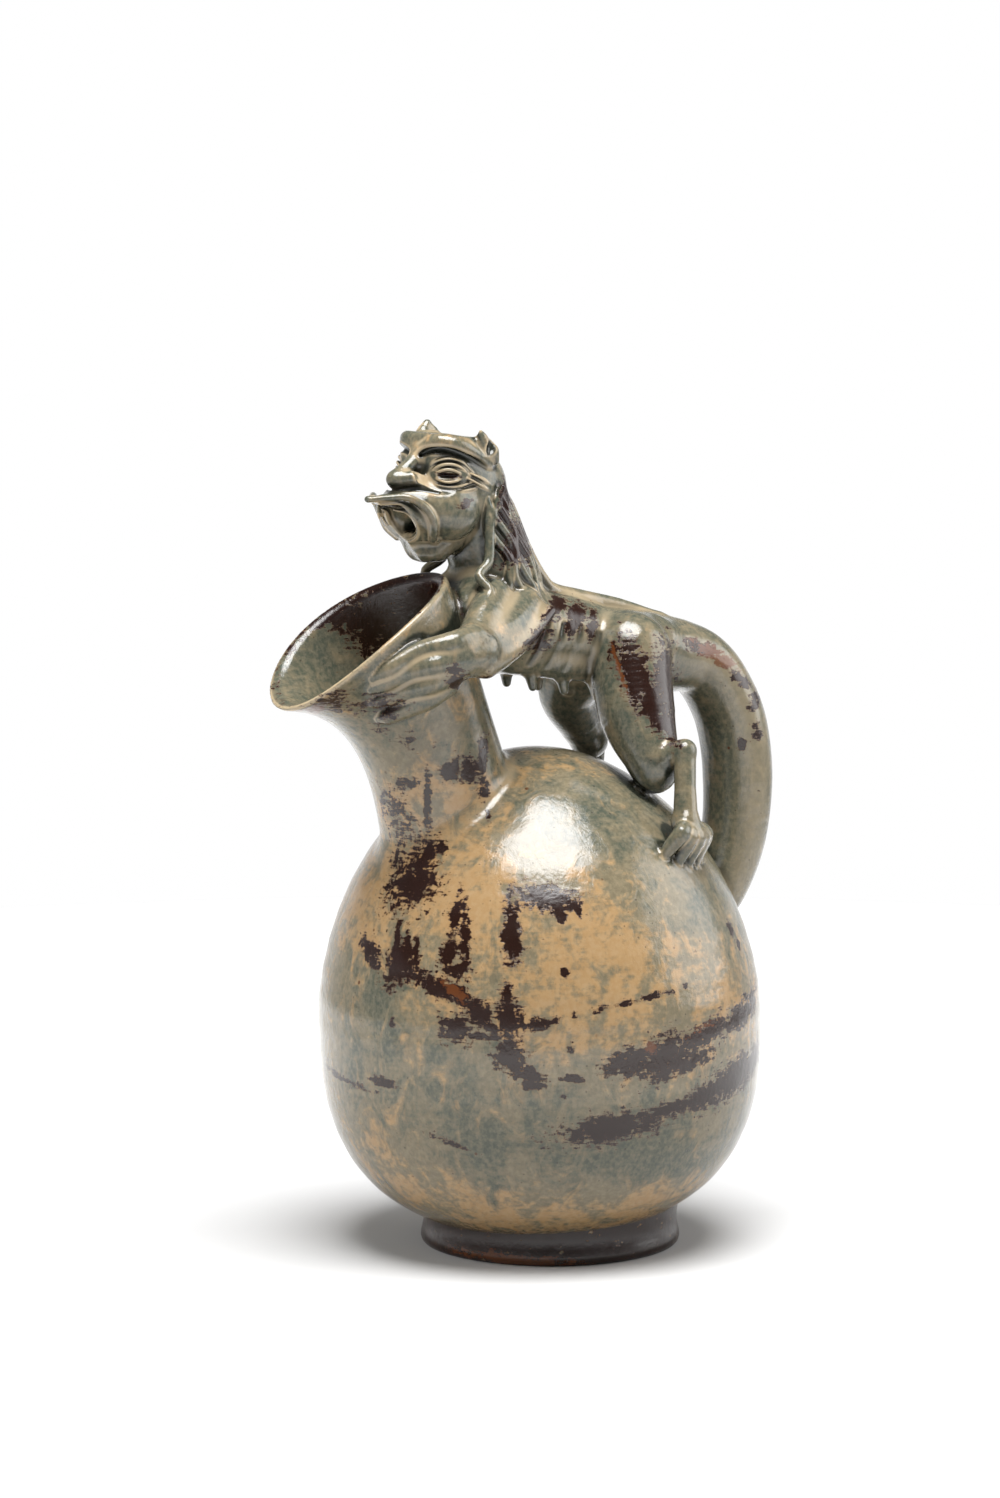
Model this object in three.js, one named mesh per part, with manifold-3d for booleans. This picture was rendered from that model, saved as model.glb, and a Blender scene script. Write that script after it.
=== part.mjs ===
// A stoneware jug whose handle is a modelled beast: a thrown globe on a turned foot ring, a leaning
// neck with an open pouring mouth, and a beast that grips the mouth, stands on the shoulder and
// brings its tail down as the handle. Every piece is a separate lump of clay, luted to the next.
// Millimetres, +Z up. The mouth points to -X, the handle to +X, the beast's left side to -Y.
import * as THREE from "three";
import { mergeVertices } from "three/addons/utils/BufferGeometryUtils.js";
import Module from "manifold-3d";

const wasm = await Module();
wasm.setup();

// Luting gap between two pieces.
const GAP = 0.3;

// Thrown globe. It sits a little forward of the foot and leans towards the mouth.
const BELLY_RADIUS = 71;
const BELLY_UPPER = 88;
const BELLY_LOWER = 79.5;
const BELLY_WALL = 5;
const BELLY_FLOOR = 7;
const BELLY_SET_FORWARD = 4;
const BELLY_LEAN_DEG = 2;
const BELLY_CENTRE_HEIGHT = 72.5;

// Turned foot ring.
const FOOT_RADIUS = 41.5;
const FOOT_WALL = 11;
const FOOT_FLARE = 0.8;
const FOOT_RECESS = 4;

// Neck and pouring mouth, measured from where the neck's axis leaves the globe.
const NECK_BASE_DEG = 28.6;
const NECK_RADIUS = 22.3;
const NECK_WALL = 4.6;
const NECK_ROOT = 30;
const MOUTH_FORWARD = 28.6;
const MOUTH_RISE = 48.5;
const MOUTH_TILT_DEG = 37;
const MOUTH_HALF_LENGTH = 34.8;
const MOUTH_HALF_WIDTH = 30;
const MOUTH_BOW = 4.5;

// Beast.
const TORSO_HALF_WIDTH = 15;
const TORSO_HALF_DEPTH = 13;
const HIP_HEIGHT = 56;
const HIP_BACK = 3.5;
const HIP_SET_FORWARD = 9.4;
const HEAD_RISE = 25;
const HEAD_BACK = 4.4;
const HEAD_TURN_DEG = 16;
const SKULL_LENGTH = 17;
const SKULL_WIDTH = 15.5;
const SKULL_HEIGHT = 15.5;
const ARM_HALF_WIDTH = 10.5;
const ARM_HALF_DEPTH = 6.8;
const HEM_RADIUS = 2;
const WRIST_HALF_WIDTH = 6.4;
const HAND_THICKNESS = 4.5;
const FINGER_RADIUS = 2.7;
const THIGH_RADIUS = 13.5;
const KNEE_STEP = 1.2;
const ANKLE_SHARE = 0.6;
const HEEL_RADIUS = 3.4;
const TOE_RADIUS = 2.5;
const BALL_SET_DEG = 3.5;
const TAIL_HALF_WIDTH = 11.5;
const TAIL_HALF_DEPTH = 10.5;
const HANDLE_REACH = 3.5;
const TAIL_END_DOWN_DEG = 67.6;
const EAR_HEIGHT = 8;
const TEAT_RADIUS = 2.5;
const TEAT_INSET = 2;
const TEAT_START = 0.1;
const TEAT_ROWS = 3;

// Where each hind foot stands: degrees round the globe from +X, and degrees down from its top.
// The thigh's middle is measured from the hip: back, outward and down. The other places of the leg are
// measured from the foot: back, inward and up. Slim thins the thigh from hip to knee.
const LEFT_STANCE = {
  round: -59,
  down: 48.5,
  thigh: [-2, 8, 18],
  bend: [-0.8, 18.6, 28.2],
  knee: [-0.3, 16.1, 22.2],
  heel: [4.3, 5.6, 29.2],
  instep: [1.3, 0, 7.2],
  slim: [0, 1.2, 4.4, 6.2],
};
const RIGHT_STANCE = {
  round: 38,
  down: 46.5,
  thigh: [-1.5, 7, 15],
  bend: [-9, 8.7, 29],
  knee: [-7, 6.7, 22.5],
  heel: [-0.5, 2.2, 26],
  instep: [0.5, -1.3, 6],
  slim: [0.5, 3, 6, 7.9],
};

const rad = THREE.MathUtils.degToRad;
const vec = (x, y, z) => new THREE.Vector3(x, y, z);
const SIDEWAYS = vec(0, 1, 0);

// Solids and cuts

/** A closed geometry as a solid that can be cut. */
function solid(geometry) {
  const bare = geometry.index ? geometry.toNonIndexed() : geometry.clone();
  bare.deleteAttribute("normal");
  bare.deleteAttribute("uv");
  const merged = mergeVertices(bare, 1e-4);
  const made = new wasm.Manifold(
    new wasm.Mesh({
      numProp: 3,
      vertProperties: merged.attributes.position.array,
      triVerts: new Uint32Array(merged.index.array),
    }),
  );
  return made;
}

/** The largest body of a solid: a cut can leave a crumb behind the piece that made it. */
function mainBody(made) {
  return made.decompose().reduce((most, body) => (body.volume() > most.volume() ? body : most));
}

/** A piece of clay with each of its seats cut away. */
function seated(piece, ...seats) {
  return mainBody(seats.reduce((left, seat) => left.subtract(seat), piece));
}

/** A solid as geometry for a mesh. */
function geometryOf(made) {
  const cut = made.getMesh();
  const flat = new Float32Array(cut.numVert * 3);
  for (let i = 0; i < cut.numVert; i++)
    flat.set(cut.vertProperties.subarray(i * cut.numProp, i * cut.numProp + 3), i * 3);
  const geometry = new THREE.BufferGeometry();
  geometry.setAttribute("position", new THREE.BufferAttribute(flat, 3));
  geometry.setIndex(new THREE.BufferAttribute(cut.triVerts, 1));
  geometry.computeVertexNormals();
  return geometry;
}

/** A closed skin over rings of equally many points, with a fan at each end. */
function skin(rings) {
  const count = rings[0].length;
  const points = rings.flat();
  const faces = [];
  for (let r = 0; r + 1 < rings.length; r++)
    for (let i = 0; i < count; i++) {
      const j = (i + 1) % count;
      const low = r * count;
      const high = low + count;
      faces.push(low + i, low + j, high + j, low + i, high + j, high + i);
    }
  const middle = (ring) => ring.reduce((sum, p) => sum.add(p), vec(0, 0, 0)).divideScalar(count);
  const first = points.push(middle(rings[0])) - 1;
  const last = points.push(middle(rings.at(-1))) - 1;
  const top = (rings.length - 1) * count;
  for (let i = 0; i < count; i++) {
    const j = (i + 1) % count;
    faces.push(first, j, i, last, top + i, top + j);
  }
  const geometry = new THREE.BufferGeometry();
  const places = points.flatMap((p) => [p.x, p.y, p.z]);
  geometry.setAttribute("position", new THREE.Float32BufferAttribute(places, 3));
  geometry.setIndex(faces);
  return geometry;
}

/** An ellipse of points about a centre, with its half-axes along two directions. */
function ellipse(centre, along, across, halfAlong, halfAcross, count) {
  return Array.from({ length: count }, (_, i) => {
    const angle = (2 * Math.PI * i) / count;
    return centre
      .clone()
      .addScaledVector(along, halfAlong * Math.cos(angle))
      .addScaledVector(across, halfAcross * Math.sin(angle));
  });
}

/**
 * A limb of clay along a smooth spine, with rounded ends.
 * Each spine point is [place, half width, half depth]; the width lies along side, squared to the spine.
 */
function limb(spine, side, { grow = 0, sides = 10, steps = 2, cap = 2 } = {}) {
  const curve = new THREE.CatmullRomCurve3(spine.map(([place]) => place), false, "centripetal");
  const spans = spine.length - 1;
  const at = (k, t) => {
    const span = Math.min(Math.floor(t * spans), spans - 1);
    const share = t * spans - span;
    const smooth = share * share * (3 - 2 * share);
    return THREE.MathUtils.lerp(spine[span][k], spine[span + 1][k], smooth) + grow;
  };
  const ringAt = (t, slide, shrink) => {
    const tangent = curve.getTangent(t);
    const across = side.clone().addScaledVector(tangent, -side.dot(tangent)).normalize();
    const deep = new THREE.Vector3().crossVectors(tangent, across);
    const centre = curve.getPoint(t).addScaledVector(tangent, slide);
    return ellipse(centre, across, deep, at(1, t) * shrink, at(2, t) * shrink, sides);
  };
  const rings = [];
  const endRound = (t, sign) => {
    const reach = Math.min(at(1, t), at(2, t));
    return Array.from({ length: cap }, (_, i) => {
      const turn = ((i + 0.5) / cap) * (Math.PI / 2);
      return ringAt(t, sign * reach * Math.cos(turn), Math.sin(turn));
    });
  };
  rings.push(...endRound(0, -1));
  for (let i = 0; i <= spans * steps; i++) rings.push(ringAt(i / (spans * steps), 0, 1));
  rings.push(...endRound(1, 1).reverse());
  return solid(skin(rings));
}

/** An ellipsoid of clay. */
function lump(centre, halfX, halfY, halfZ, { grow = 0, sides = 12, rings = 7 } = {}) {
  const ball = new THREE.SphereGeometry(1, sides, rings);
  ball.scale(halfX + grow, halfY + grow, halfZ + grow);
  ball.translate(centre.x, centre.y, centre.z);
  return solid(ball);
}

// Globe

const bellyCentre = vec(-BELLY_SET_FORWARD, 0, BELLY_CENTRE_HEIGHT);
const bellyPose = new THREE.Matrix4()
  .makeRotationY(-rad(BELLY_LEAN_DEG))
  .setPosition(bellyCentre);
const bellyBase = FOOT_RECESS - BELLY_CENTRE_HEIGHT;

/** The globe's outside, or its hollow when grown by less than nothing, as a turned solid. */
function globe(grow, base, around, rings) {
  const radius = BELLY_RADIUS + grow;
  const lower = BELLY_LOWER + grow;
  const upper = BELLY_UPPER + grow;
  const start = Math.asin(base / lower);
  const profile = [new THREE.Vector2(0, base)];
  for (let i = 0; i < rings; i++) {
    const turn = start + ((Math.PI / 2 - start) * i) / rings;
    const half = turn < 0 ? lower : upper;
    profile.push(new THREE.Vector2(radius * Math.cos(turn), half * Math.sin(turn)));
  }
  profile.push(new THREE.Vector2(0, upper));
  const turned = new THREE.LatheGeometry(profile, around).rotateX(Math.PI / 2);
  return solid(turned.applyMatrix4(bellyPose));
}

/** A point on the globe, round from +X and down from its top, lifted off its surface. */
function onGlobe(roundDeg, downDeg, lift = 0) {
  const down = rad(downDeg);
  const round = rad(roundDeg);
  const half = downDeg < 90 ? BELLY_UPPER : BELLY_LOWER;
  const out = vec(Math.sin(down) * Math.cos(round), Math.sin(down) * Math.sin(round), Math.cos(down));
  const point = vec(out.x * BELLY_RADIUS, out.y * BELLY_RADIUS, out.z * half);
  const normal = vec(out.x / BELLY_RADIUS, out.y / BELLY_RADIUS, out.z / half).normalize();
  return point.addScaledVector(normal, lift).applyMatrix4(bellyPose);
}

const GLOBE_AROUND = 40;
const GLOBE_RINGS = 14;
const globeSeat = globe(GAP, bellyBase - GAP, GLOBE_AROUND, GLOBE_RINGS);
const globeOutside = globe(0, bellyBase, GLOBE_AROUND, GLOBE_RINGS);
const globeHollow = globe(-BELLY_WALL, bellyBase + BELLY_FLOOR, GLOBE_AROUND, GLOBE_RINGS);

// Foot ring

/** The foot ring before it is seated: it runs up into the globe, which is then cut away. */
function footBlank() {
  const inner = FOOT_RADIUS - FOOT_WALL;
  const top = BELLY_CENTRE_HEIGHT / 2;
  const edge = FOOT_FLARE;
  const profile = [
    new THREE.Vector2(inner, 0),
    new THREE.Vector2(FOOT_RADIUS - edge, 0),
    new THREE.Vector2(FOOT_RADIUS, edge),
    new THREE.Vector2(FOOT_RADIUS - edge, top),
    new THREE.Vector2(inner, top),
    new THREE.Vector2(inner, 0),
  ];
  return solid(new THREE.LatheGeometry(profile, GLOBE_AROUND).rotateX(Math.PI / 2));
}

// Neck and mouth

const neckBase = onGlobe(180, NECK_BASE_DEG);
const mouthCentre = neckBase.clone().add(vec(-MOUTH_FORWARD, 0, MOUTH_RISE));
const mouthTilt = rad(MOUTH_TILT_DEG);
const mouthAlong = vec(Math.cos(mouthTilt), 0, Math.sin(mouthTilt));
const rimBack = mouthCentre.clone().addScaledVector(mouthAlong, MOUTH_HALF_LENGTH);
const rimFront = mouthCentre.clone().addScaledVector(mouthAlong, -MOUTH_HALF_LENGTH);
const NECK_SECTIONS = 10;
const NECK_SIDES = 24;

const fromBase = (x, z) => neckBase.clone().add(vec(x, 0, z));
const neckFront = new THREE.CubicBezierCurve3(
  fromBase(6 - NECK_RADIUS, -NECK_ROOT),
  fromBase(4 - NECK_RADIUS, 4),
  fromBase(-5 - NECK_RADIUS, 27),
  rimFront,
);
const neckBack = new THREE.CubicBezierCurve3(
  fromBase(NECK_RADIUS + 3.5, -2.5),
  fromBase(NECK_RADIUS - 5, 18),
  fromBase(NECK_RADIUS - 11, 38),
  rimBack,
);

/**
 * The neck's outside, or its bore when grown by less than nothing.
 * Each section spans the front and back lines; the last ones open sideways and bow up to the mouth.
 */
function neckForm(grow, overrun = 0) {
  const rings = [];
  for (let i = 0; i <= NECK_SECTIONS; i++) {
    const share = i / NECK_SECTIONS;
    const front = neckFront.getPoint(share);
    const back = neckBack.getPoint(share);
    const along = back.clone().sub(front);
    const halfLong = along.length() / 2 + grow;
    along.normalize();
    const normal = vec(-along.z, 0, along.x);
    const past = i === NECK_SECTIONS ? overrun : 0;
    const centre = front.add(back).divideScalar(2).addScaledVector(normal, past);
    const widen = (Math.max(share - 0.4, 0) / 0.6) ** 1.6;
    const bow = MOUTH_BOW * Math.max(share - 0.5, 0) * 2;
    const halfWide = NECK_RADIUS + (MOUTH_HALF_WIDTH - NECK_RADIUS) * widen + grow;
    const ring = ellipse(centre, along, SIDEWAYS, halfLong, halfWide, NECK_SIDES);
    for (const point of ring) point.addScaledVector(normal, bow * (point.y / halfWide) ** 2);
    rings.push(ring);
  }
  return solid(skin(rings));
}

const neckSeat = neckForm(GAP, GAP);
const neckBore = neckForm(-NECK_WALL, GAP);

// Beast's torso and tail

const footLeft = onGlobe(LEFT_STANCE.round, LEFT_STANCE.down);
const footRight = onGlobe(RIGHT_STANCE.round, RIGHT_STANCE.down);
const hip = footLeft.clone().add(footRight).multiplyScalar(0.5).setY(0).add(vec(HIP_BACK, 0, HIP_HEIGHT));
const chest = rimBack.clone().add(vec(24, 0, -19.5));
const between = (share, drop) => chest.clone().lerp(hip, share).add(vec(0, 0, -drop));
const rump = hip.clone().add(vec(12, 0, -1.5));
function torsoForm(grow) {
  const wide = TORSO_HALF_WIDTH;
  const deep = TORSO_HALF_DEPTH;
  return limb(
    [
      [chest.clone().add(vec(-12, 0, 4)), wide - 2, deep - 1],
      [chest, wide + 2.5, deep + 2.5],
      [between(0.36, -1), wide, deep],
      [between(0.68, 0), wide - 1.5, deep - 0.5],
      [hip, wide + 0.5, deep],
      [rump, wide - 2, deep - 1.5],
    ],
    SIDEWAYS,
    { grow, sides: 14, steps: 3 },
  );
}

const tailReach = BELLY_RADIUS - BELLY_SET_FORWARD + HANDLE_REACH;
const tailFoot = onGlobe(0, TAIL_END_DOWN_DEG);

function tailForm(grow) {
  const wide = TAIL_HALF_WIDTH;
  const deep = TAIL_HALF_DEPTH;
  const drop = (rump.z - tailFoot.z) / 5;
  return limb(
    [
      [rump.clone().add(vec(-4, 0, 0.5)), wide + 1, deep],
      [vec((rump.x + tailReach) / 2 - 2, 0, rump.z - drop * 0.18), wide + 0.5, deep],
      [vec(tailReach - 7.5, 0, rump.z - drop * 0.75), wide, deep],
      [vec(tailReach - 2, 0, rump.z - drop * 1.5), wide, deep],
      [vec(tailReach + 0.3, 0, rump.z - drop * 2.6), wide, deep],
      [vec(tailReach - 1, 0, rump.z - drop * 3.8), wide - 0.7, deep - 0.7],
      [tailFoot.clone().add(vec(4, 0, 4)), wide - 1.5, deep - 1.5],
      [tailFoot.clone().add(vec(-6, 0, -8)), wide - 2.5, deep - 2.5],
    ],
    SIDEWAYS,
    { grow, sides: 12, steps: 2 },
  );
}

// Beast's neck and head

const headCentre = rimBack.clone().add(vec(HEAD_BACK, 0, HEAD_RISE));
const headPose = new THREE.Matrix4().makeRotationZ(rad(HEAD_TURN_DEG)).setPosition(headCentre);
const inHead = (x, y, z) => vec(x, y, z).applyMatrix4(headPose);
const posed = (made) => made.transform(headPose.toArray());

function throatForm(grow) {
  return limb(
    [
      [chest.clone().add(vec(3, 0, 2)), SKULL_WIDTH + 1, SKULL_LENGTH - 2],
      [chest.clone().lerp(headCentre, 0.42).add(vec(3.5, 0, 0)), SKULL_WIDTH - 2, SKULL_LENGTH - 2],
      [headCentre.clone().add(vec(3, 0, -4)), SKULL_WIDTH - 3, SKULL_LENGTH - 5],
    ],
    SIDEWAYS,
    { grow, sides: 12, steps: 3 },
  );
}

function headForm(grow) {
  const fine = { grow, sides: 16, rings: 9 };
  const cranium = lump(vec(1, 0, 1.5), SKULL_LENGTH, SKULL_WIDTH, SKULL_HEIGHT, fine);
  const muzzle = lump(vec(-9, 0, -8), SKULL_LENGTH - 6, SKULL_WIDTH - 4, SKULL_HEIGHT - 5, { grow });
  const brow = lump(vec(-11, 0, 8.5), 5.5, SKULL_WIDTH - 2, 4.2, { grow });
  const nose = limb(
    [
      [vec(-13, 0, 7), 2.8, 2.8],
      [vec(-18, 0, 4), 3.6, 3],
      [vec(-20.5, 0, 2.6), 3.8, 2.8],
    ],
    SIDEWAYS,
    { grow, sides: 8, steps: 1 },
  );
  return posed(cranium.add(muzzle).add(brow).add(nose));
}

function upperLipForm(grow) {
  return posed(
    limb(
      [
        [vec(-9, 0, -0.5), 10.5, 4.6],
        [vec(-18, 0, -1.6), 8.2, 3.6],
        [vec(-24, 0, -2.6), 4.4, 2.4],
        [vec(-28, 0, -3.2), 1.8, 1.3],
      ],
      SIDEWAYS,
      { grow, sides: 10, steps: 1 },
    ),
  );
}

function lowerJawForm(grow) {
  return posed(
    limb(
      [
        [vec(-6, 0, -15.5), 8.5, 6],
        [vec(-13, 0, -17.5), 8.2, 5.6],
        [vec(-16.5, 0, -17), 6, 4.6],
      ],
      SIDEWAYS,
      { grow, sides: 10 },
    ),
  );
}

function tongueForm() {
  return posed(
    limb(
      [
        [vec(-12, 0, -10.5), 4.6, 1.9],
        [vec(-20, 0, -9.6), 4.2, 1.6],
        [vec(-24.5, 0, -8.4), 2.4, 1.1],
      ],
      SIDEWAYS,
      { sides: 8, steps: 1 },
    ),
  );
}

/** An ear: a leaf of clay that comes to a point. Side is -1 on the left and 1 on the right. */
function earForm(side) {
  const root = vec(1, side * (SKULL_WIDTH - 4.5), SKULL_HEIGHT - 4);
  const tip = root.clone().add(vec(-0.5, side * 3.4, EAR_HEIGHT));
  return posed(
    limb(
      [
        [root, 5.2, 3],
        [root.clone().lerp(tip, 0.6), 3.8, 2.2],
        [tip, 1, 0.8],
      ],
      vec(1, 0, 0),
      { sides: 8, steps: 1 },
    ),
  );
}

/** A lidded eye, pressed on under the brow. */
function eyeForm(side) {
  return posed(lump(vec(-10, side * 10.6, 3.6), 4.6, 3, 3, { sides: 10, rings: 6 }));
}

// Mane

function maneForm(grow) {
  const crown = inHead(SKULL_LENGTH - 3, 0, SKULL_HEIGHT - 5);
  const nape = chest.clone().lerp(headCentre, 0.42).add(vec(SKULL_LENGTH + 0.5, 0, 4));
  return limb(
    [
      [crown, 6, 3],
      [crown.clone().lerp(nape, 0.55).add(vec(1, 0, 0)), 7, 3.2],
      [nape, 6.5, 3],
      [chest.clone().add(vec(17, 0, TORSO_HALF_DEPTH + 1)), 5, 2.6],
    ],
    SIDEWAYS,
    { grow, sides: 8 },
  );
}

const LOCK_RADIUS = 2.2;
const LOCK_WAVES = 2;
const LOCK_POINTS = 9;

/** A wavy lock of hair that hangs down the side of the neck. */
function lockForm(side, back) {
  const top = inHead(10 + back, side * (SKULL_WIDTH - 4.5), 5);
  const low = chest.clone().add(vec(-13 + back * 1.6, side * (SKULL_WIDTH + 0.5), 10));
  const points = Array.from({ length: LOCK_POINTS }, (_, i) => {
    const share = i / (LOCK_POINTS - 1);
    const wave = 1.6 * Math.sin(share * LOCK_WAVES * 2 * Math.PI);
    const bow = side * 4.5 * Math.sin(share * Math.PI);
    return top.clone().lerp(low, share).add(vec(wave, bow * 0.45, 0));
  });
  const spine = points.map((p, i) => [p, LOCK_RADIUS - i * 0.08, LOCK_RADIUS - i * 0.08]);
  return limb(spine, vec(0, 0.2, 1).normalize(), { sides: 6, steps: 1 });
}

// Arms and hands

const handOut = MOUTH_HALF_WIDTH + HAND_THICKNESS;

const wristOf = (side) => mouthCentre.clone().add(vec(17, side * handOut, -8));

/** The upper arm: a broad slab that slopes down to the cuff; its hem ends in the point of the shoulder. */
function armForm(side, grow) {
  const fromChest = (x, y, z) => chest.clone().add(vec(x, side * y, z));
  const fromMouth = (x, y, z) => mouthCentre.clone().add(vec(x, side * y, z));
  const slab = limb(
    [
      [fromChest(-1.5, TORSO_HALF_WIDTH + 2, 7), ARM_HALF_WIDTH - 0.5, ARM_HALF_DEPTH - 0.8],
      [fromChest(-11.5, TORSO_HALF_WIDTH + 7, 1.5), ARM_HALF_WIDTH, ARM_HALF_DEPTH],
      [fromMouth(25, handOut - 4, -3), ARM_HALF_WIDTH - 2.5, ARM_HALF_DEPTH - 0.4],
    ],
    vec(-0.55, -side * 0.45, 0.71),
    { grow, sides: 12, steps: 3 },
  );
  const hem = limb(
    [
      [fromChest(6.5, TORSO_HALF_WIDTH + 4.4, 6.5), HEM_RADIUS - 0.5, HEM_RADIUS - 0.5],
      [fromChest(-9.5, TORSO_HALF_WIDTH + 12, -3.7), HEM_RADIUS, HEM_RADIUS],
      [fromMouth(28.3, handOut - 2.3, -8.2), HEM_RADIUS + 0.2, HEM_RADIUS + 0.2],
    ],
    SIDEWAYS,
    { grow, sides: 8 },
  );
  return slab.add(hem);
}

const FINGERS = 4;

/** A hand: a palm and fingers that spread forward over the mouth's wall, and down by droop. */
function handForm(side, droop) {
  const wrist = wristOf(side);
  const knuckles = mouthCentre.clone().add(vec(6, side * (handOut - 3), -13));
  let hand = limb(
    [
      [wrist, HAND_THICKNESS, WRIST_HALF_WIDTH],
      [knuckles, HAND_THICKNESS - 0.4, WRIST_HALF_WIDTH + 2.6],
    ],
    SIDEWAYS,
    { sides: 10 },
  );
  for (let i = 0; i < FINGERS; i++) {
    const share = i / (FINGERS - 1);
    const root = knuckles.clone().add(vec(-1 + 4 * share, 0, 6 - (8 + 5 * droop) * share));
    const bend = root.clone().add(vec(-5, -side * (2 + 1.4 * share), -0.8 - 3 * droop * share));
    const tip = bend.clone().add(vec(-3.6 + 1.5 * share, -side * (3 + 2 * share), -1 - 4 * droop * share));
    hand = hand.add(
      limb(
        [
          [root, FINGER_RADIUS, FINGER_RADIUS],
          [bend, FINGER_RADIUS - 0.1, FINGER_RADIUS - 0.1],
          [tip, FINGER_RADIUS - 0.6, FINGER_RADIUS - 0.6],
        ],
        vec(0.5, 0, 1).normalize(),
        { sides: 6, steps: 1 },
      ),
    );
  }
  return hand;
}

// Hind legs

/** One hind leg's joints: where the thigh leaves the hip, its middle and bend, the knee, heel and foot. */
function legJoints(side, stance, foot) {
  const fromFoot = ([back, inward, up]) => foot.clone().add(vec(back, -side * inward, up));
  const root = hip.clone().add(vec(-HIP_SET_FORWARD, side * (TORSO_HALF_WIDTH - 3), 1));
  const [back, outward, down] = stance.thigh;
  return {
    hip: root,
    thigh: root.clone().add(vec(back, side * outward, -down)),
    bend: fromFoot(stance.bend),
    knee: fromFoot(stance.knee),
    heel: fromFoot(stance.heel),
    instep: fromFoot(stance.instep),
    ankle: fromFoot(stance.heel).lerp(fromFoot(stance.instep), ANKLE_SHARE),
    ball: onGlobe(stance.round, stance.down - BALL_SET_DEG, TOE_RADIUS + 1),
  };
}

function thighForm(side, stance, foot, grow) {
  const leg = legJoints(side, stance, foot);
  const places = [leg.hip, leg.thigh, leg.bend, leg.knee];
  const spine = places.map((p, i) => [p, THIGH_RADIUS - stance.slim[i], THIGH_RADIUS - stance.slim[i]]);
  return limb(spine, SIDEWAYS, { grow, sides: 12, steps: 3 });
}

/** The shin folded back up from the knee to the heel, and the long foot bone that comes down from it. */
function shinForm(side, stance, foot, grow) {
  const leg = legJoints(side, stance, foot);
  const top = THIGH_RADIUS - stance.slim[3] - KNEE_STEP;
  const calf = (top + HEEL_RADIUS) / 2;
  const shin = limb(
    [
      [leg.knee, top, top],
      [leg.knee.clone().lerp(leg.heel, 0.5).add(vec(0, 0, 1.5)), calf, calf],
      [leg.heel, HEEL_RADIUS, HEEL_RADIUS],
    ],
    vec(1, 0, 0),
    { grow, sides: 10 },
  );
  const footBone = limb(
    [
      [leg.heel.clone().add(vec(0, 0, 0.7)), HEEL_RADIUS + 0.2, HEEL_RADIUS + 0.2],
      [leg.ankle, HEEL_RADIUS + 0.5, HEEL_RADIUS + 0.5],
    ],
    vec(1, 0, 0),
    { grow, sides: 9 },
  );
  return shin.add(footBone);
}

const TOES = 4;
const TOE_SPREAD_DEG = 18.2;
const TOE_ROOT_SHARE = 0.6;
const TOE_LENGTH_DEG = 8;

function footForm(side, stance, foot) {
  const leg = legJoints(side, stance, foot);
  let paw = limb(
    [
      [leg.ankle, HEEL_RADIUS + 0.5, HEEL_RADIUS + 0.5],
      [leg.instep, HEEL_RADIUS + 1.2, HEEL_RADIUS + 1.2],
      [leg.ball, HEEL_RADIUS + 4.4, HEEL_RADIUS + 0.6],
    ],
    vec(1, 0, 0),
    { sides: 10 },
  );
  for (let i = 0; i < TOES; i++) {
    const share = i / (TOES - 1) - 0.5;
    const round = stance.round + share * TOE_SPREAD_DEG * TOE_ROOT_SHARE;
    const tipRound = stance.round + share * TOE_SPREAD_DEG;
    const reach = TOE_LENGTH_DEG - Math.abs(share) * 3;
    const toe = limb(
      [
        [onGlobe(round, stance.down - BALL_SET_DEG, TOE_RADIUS + 1), TOE_RADIUS, TOE_RADIUS],
        [onGlobe(round, stance.down, TOE_RADIUS + 0.6), TOE_RADIUS, TOE_RADIUS],
        [onGlobe(tipRound, stance.down + reach * 0.55, TOE_RADIUS * 0.6), TOE_RADIUS * 0.7, TOE_RADIUS * 0.7],
      ],
      vec(1, 0, 0),
      { sides: 6, steps: 1 },
    );
    paw = paw.add(toe);
  }
  return paw;
}

// Teats

function teatForm(side, place) {
  const thighFront = hip.x - HIP_SET_FORWARD - THIGH_RADIUS - TEAT_RADIUS;
  const last = (thighFront + TEAT_INSET - chest.x) / (hip.x - chest.x);
  const share = TEAT_START + ((last - TEAT_START) * place) / (TEAT_ROWS - 1);
  const root = between(share, TORSO_HALF_DEPTH - 0.6).add(vec(0, side * TORSO_HALF_WIDTH * 0.4, 0));
  return limb(
    [
      [root, TEAT_RADIUS, TEAT_RADIUS],
      [root.clone().add(vec(0.4, side * 0.5, -3.2)), TEAT_RADIUS * 0.8, TEAT_RADIUS * 0.8],
    ],
    SIDEWAYS,
    { sides: 7, steps: 1 },
  );
}

// Materials and assembly

const glaze = (name, color, roughness) =>
  new THREE.MeshStandardMaterial({ name, color, roughness, metalness: 0 });
const celadon = glaze("celadon_glaze", 0x8f927a, 0.25);
const ochre = glaze("ochre_glaze", 0xa08c62, 0.25);
const iron = glaze("iron_glaze", 0x3a2118, 0.35);

const jug = new THREE.Group();

/** Adds a piece of the jug as a named mesh. */
function place(name, made, material) {
  const mesh = new THREE.Mesh(geometryOf(made), material);
  mesh.name = name;
  jug.add(mesh);
}

const torsoSeat = torsoForm(GAP);
const tailSeat = tailForm(GAP);
const throatSeat = throatForm(GAP);
const headSeat = headForm(GAP);
const maneSeat = maneForm(GAP);
const lipSeat = upperLipForm(GAP);
const jawSeat = lowerJawForm(GAP);

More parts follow.
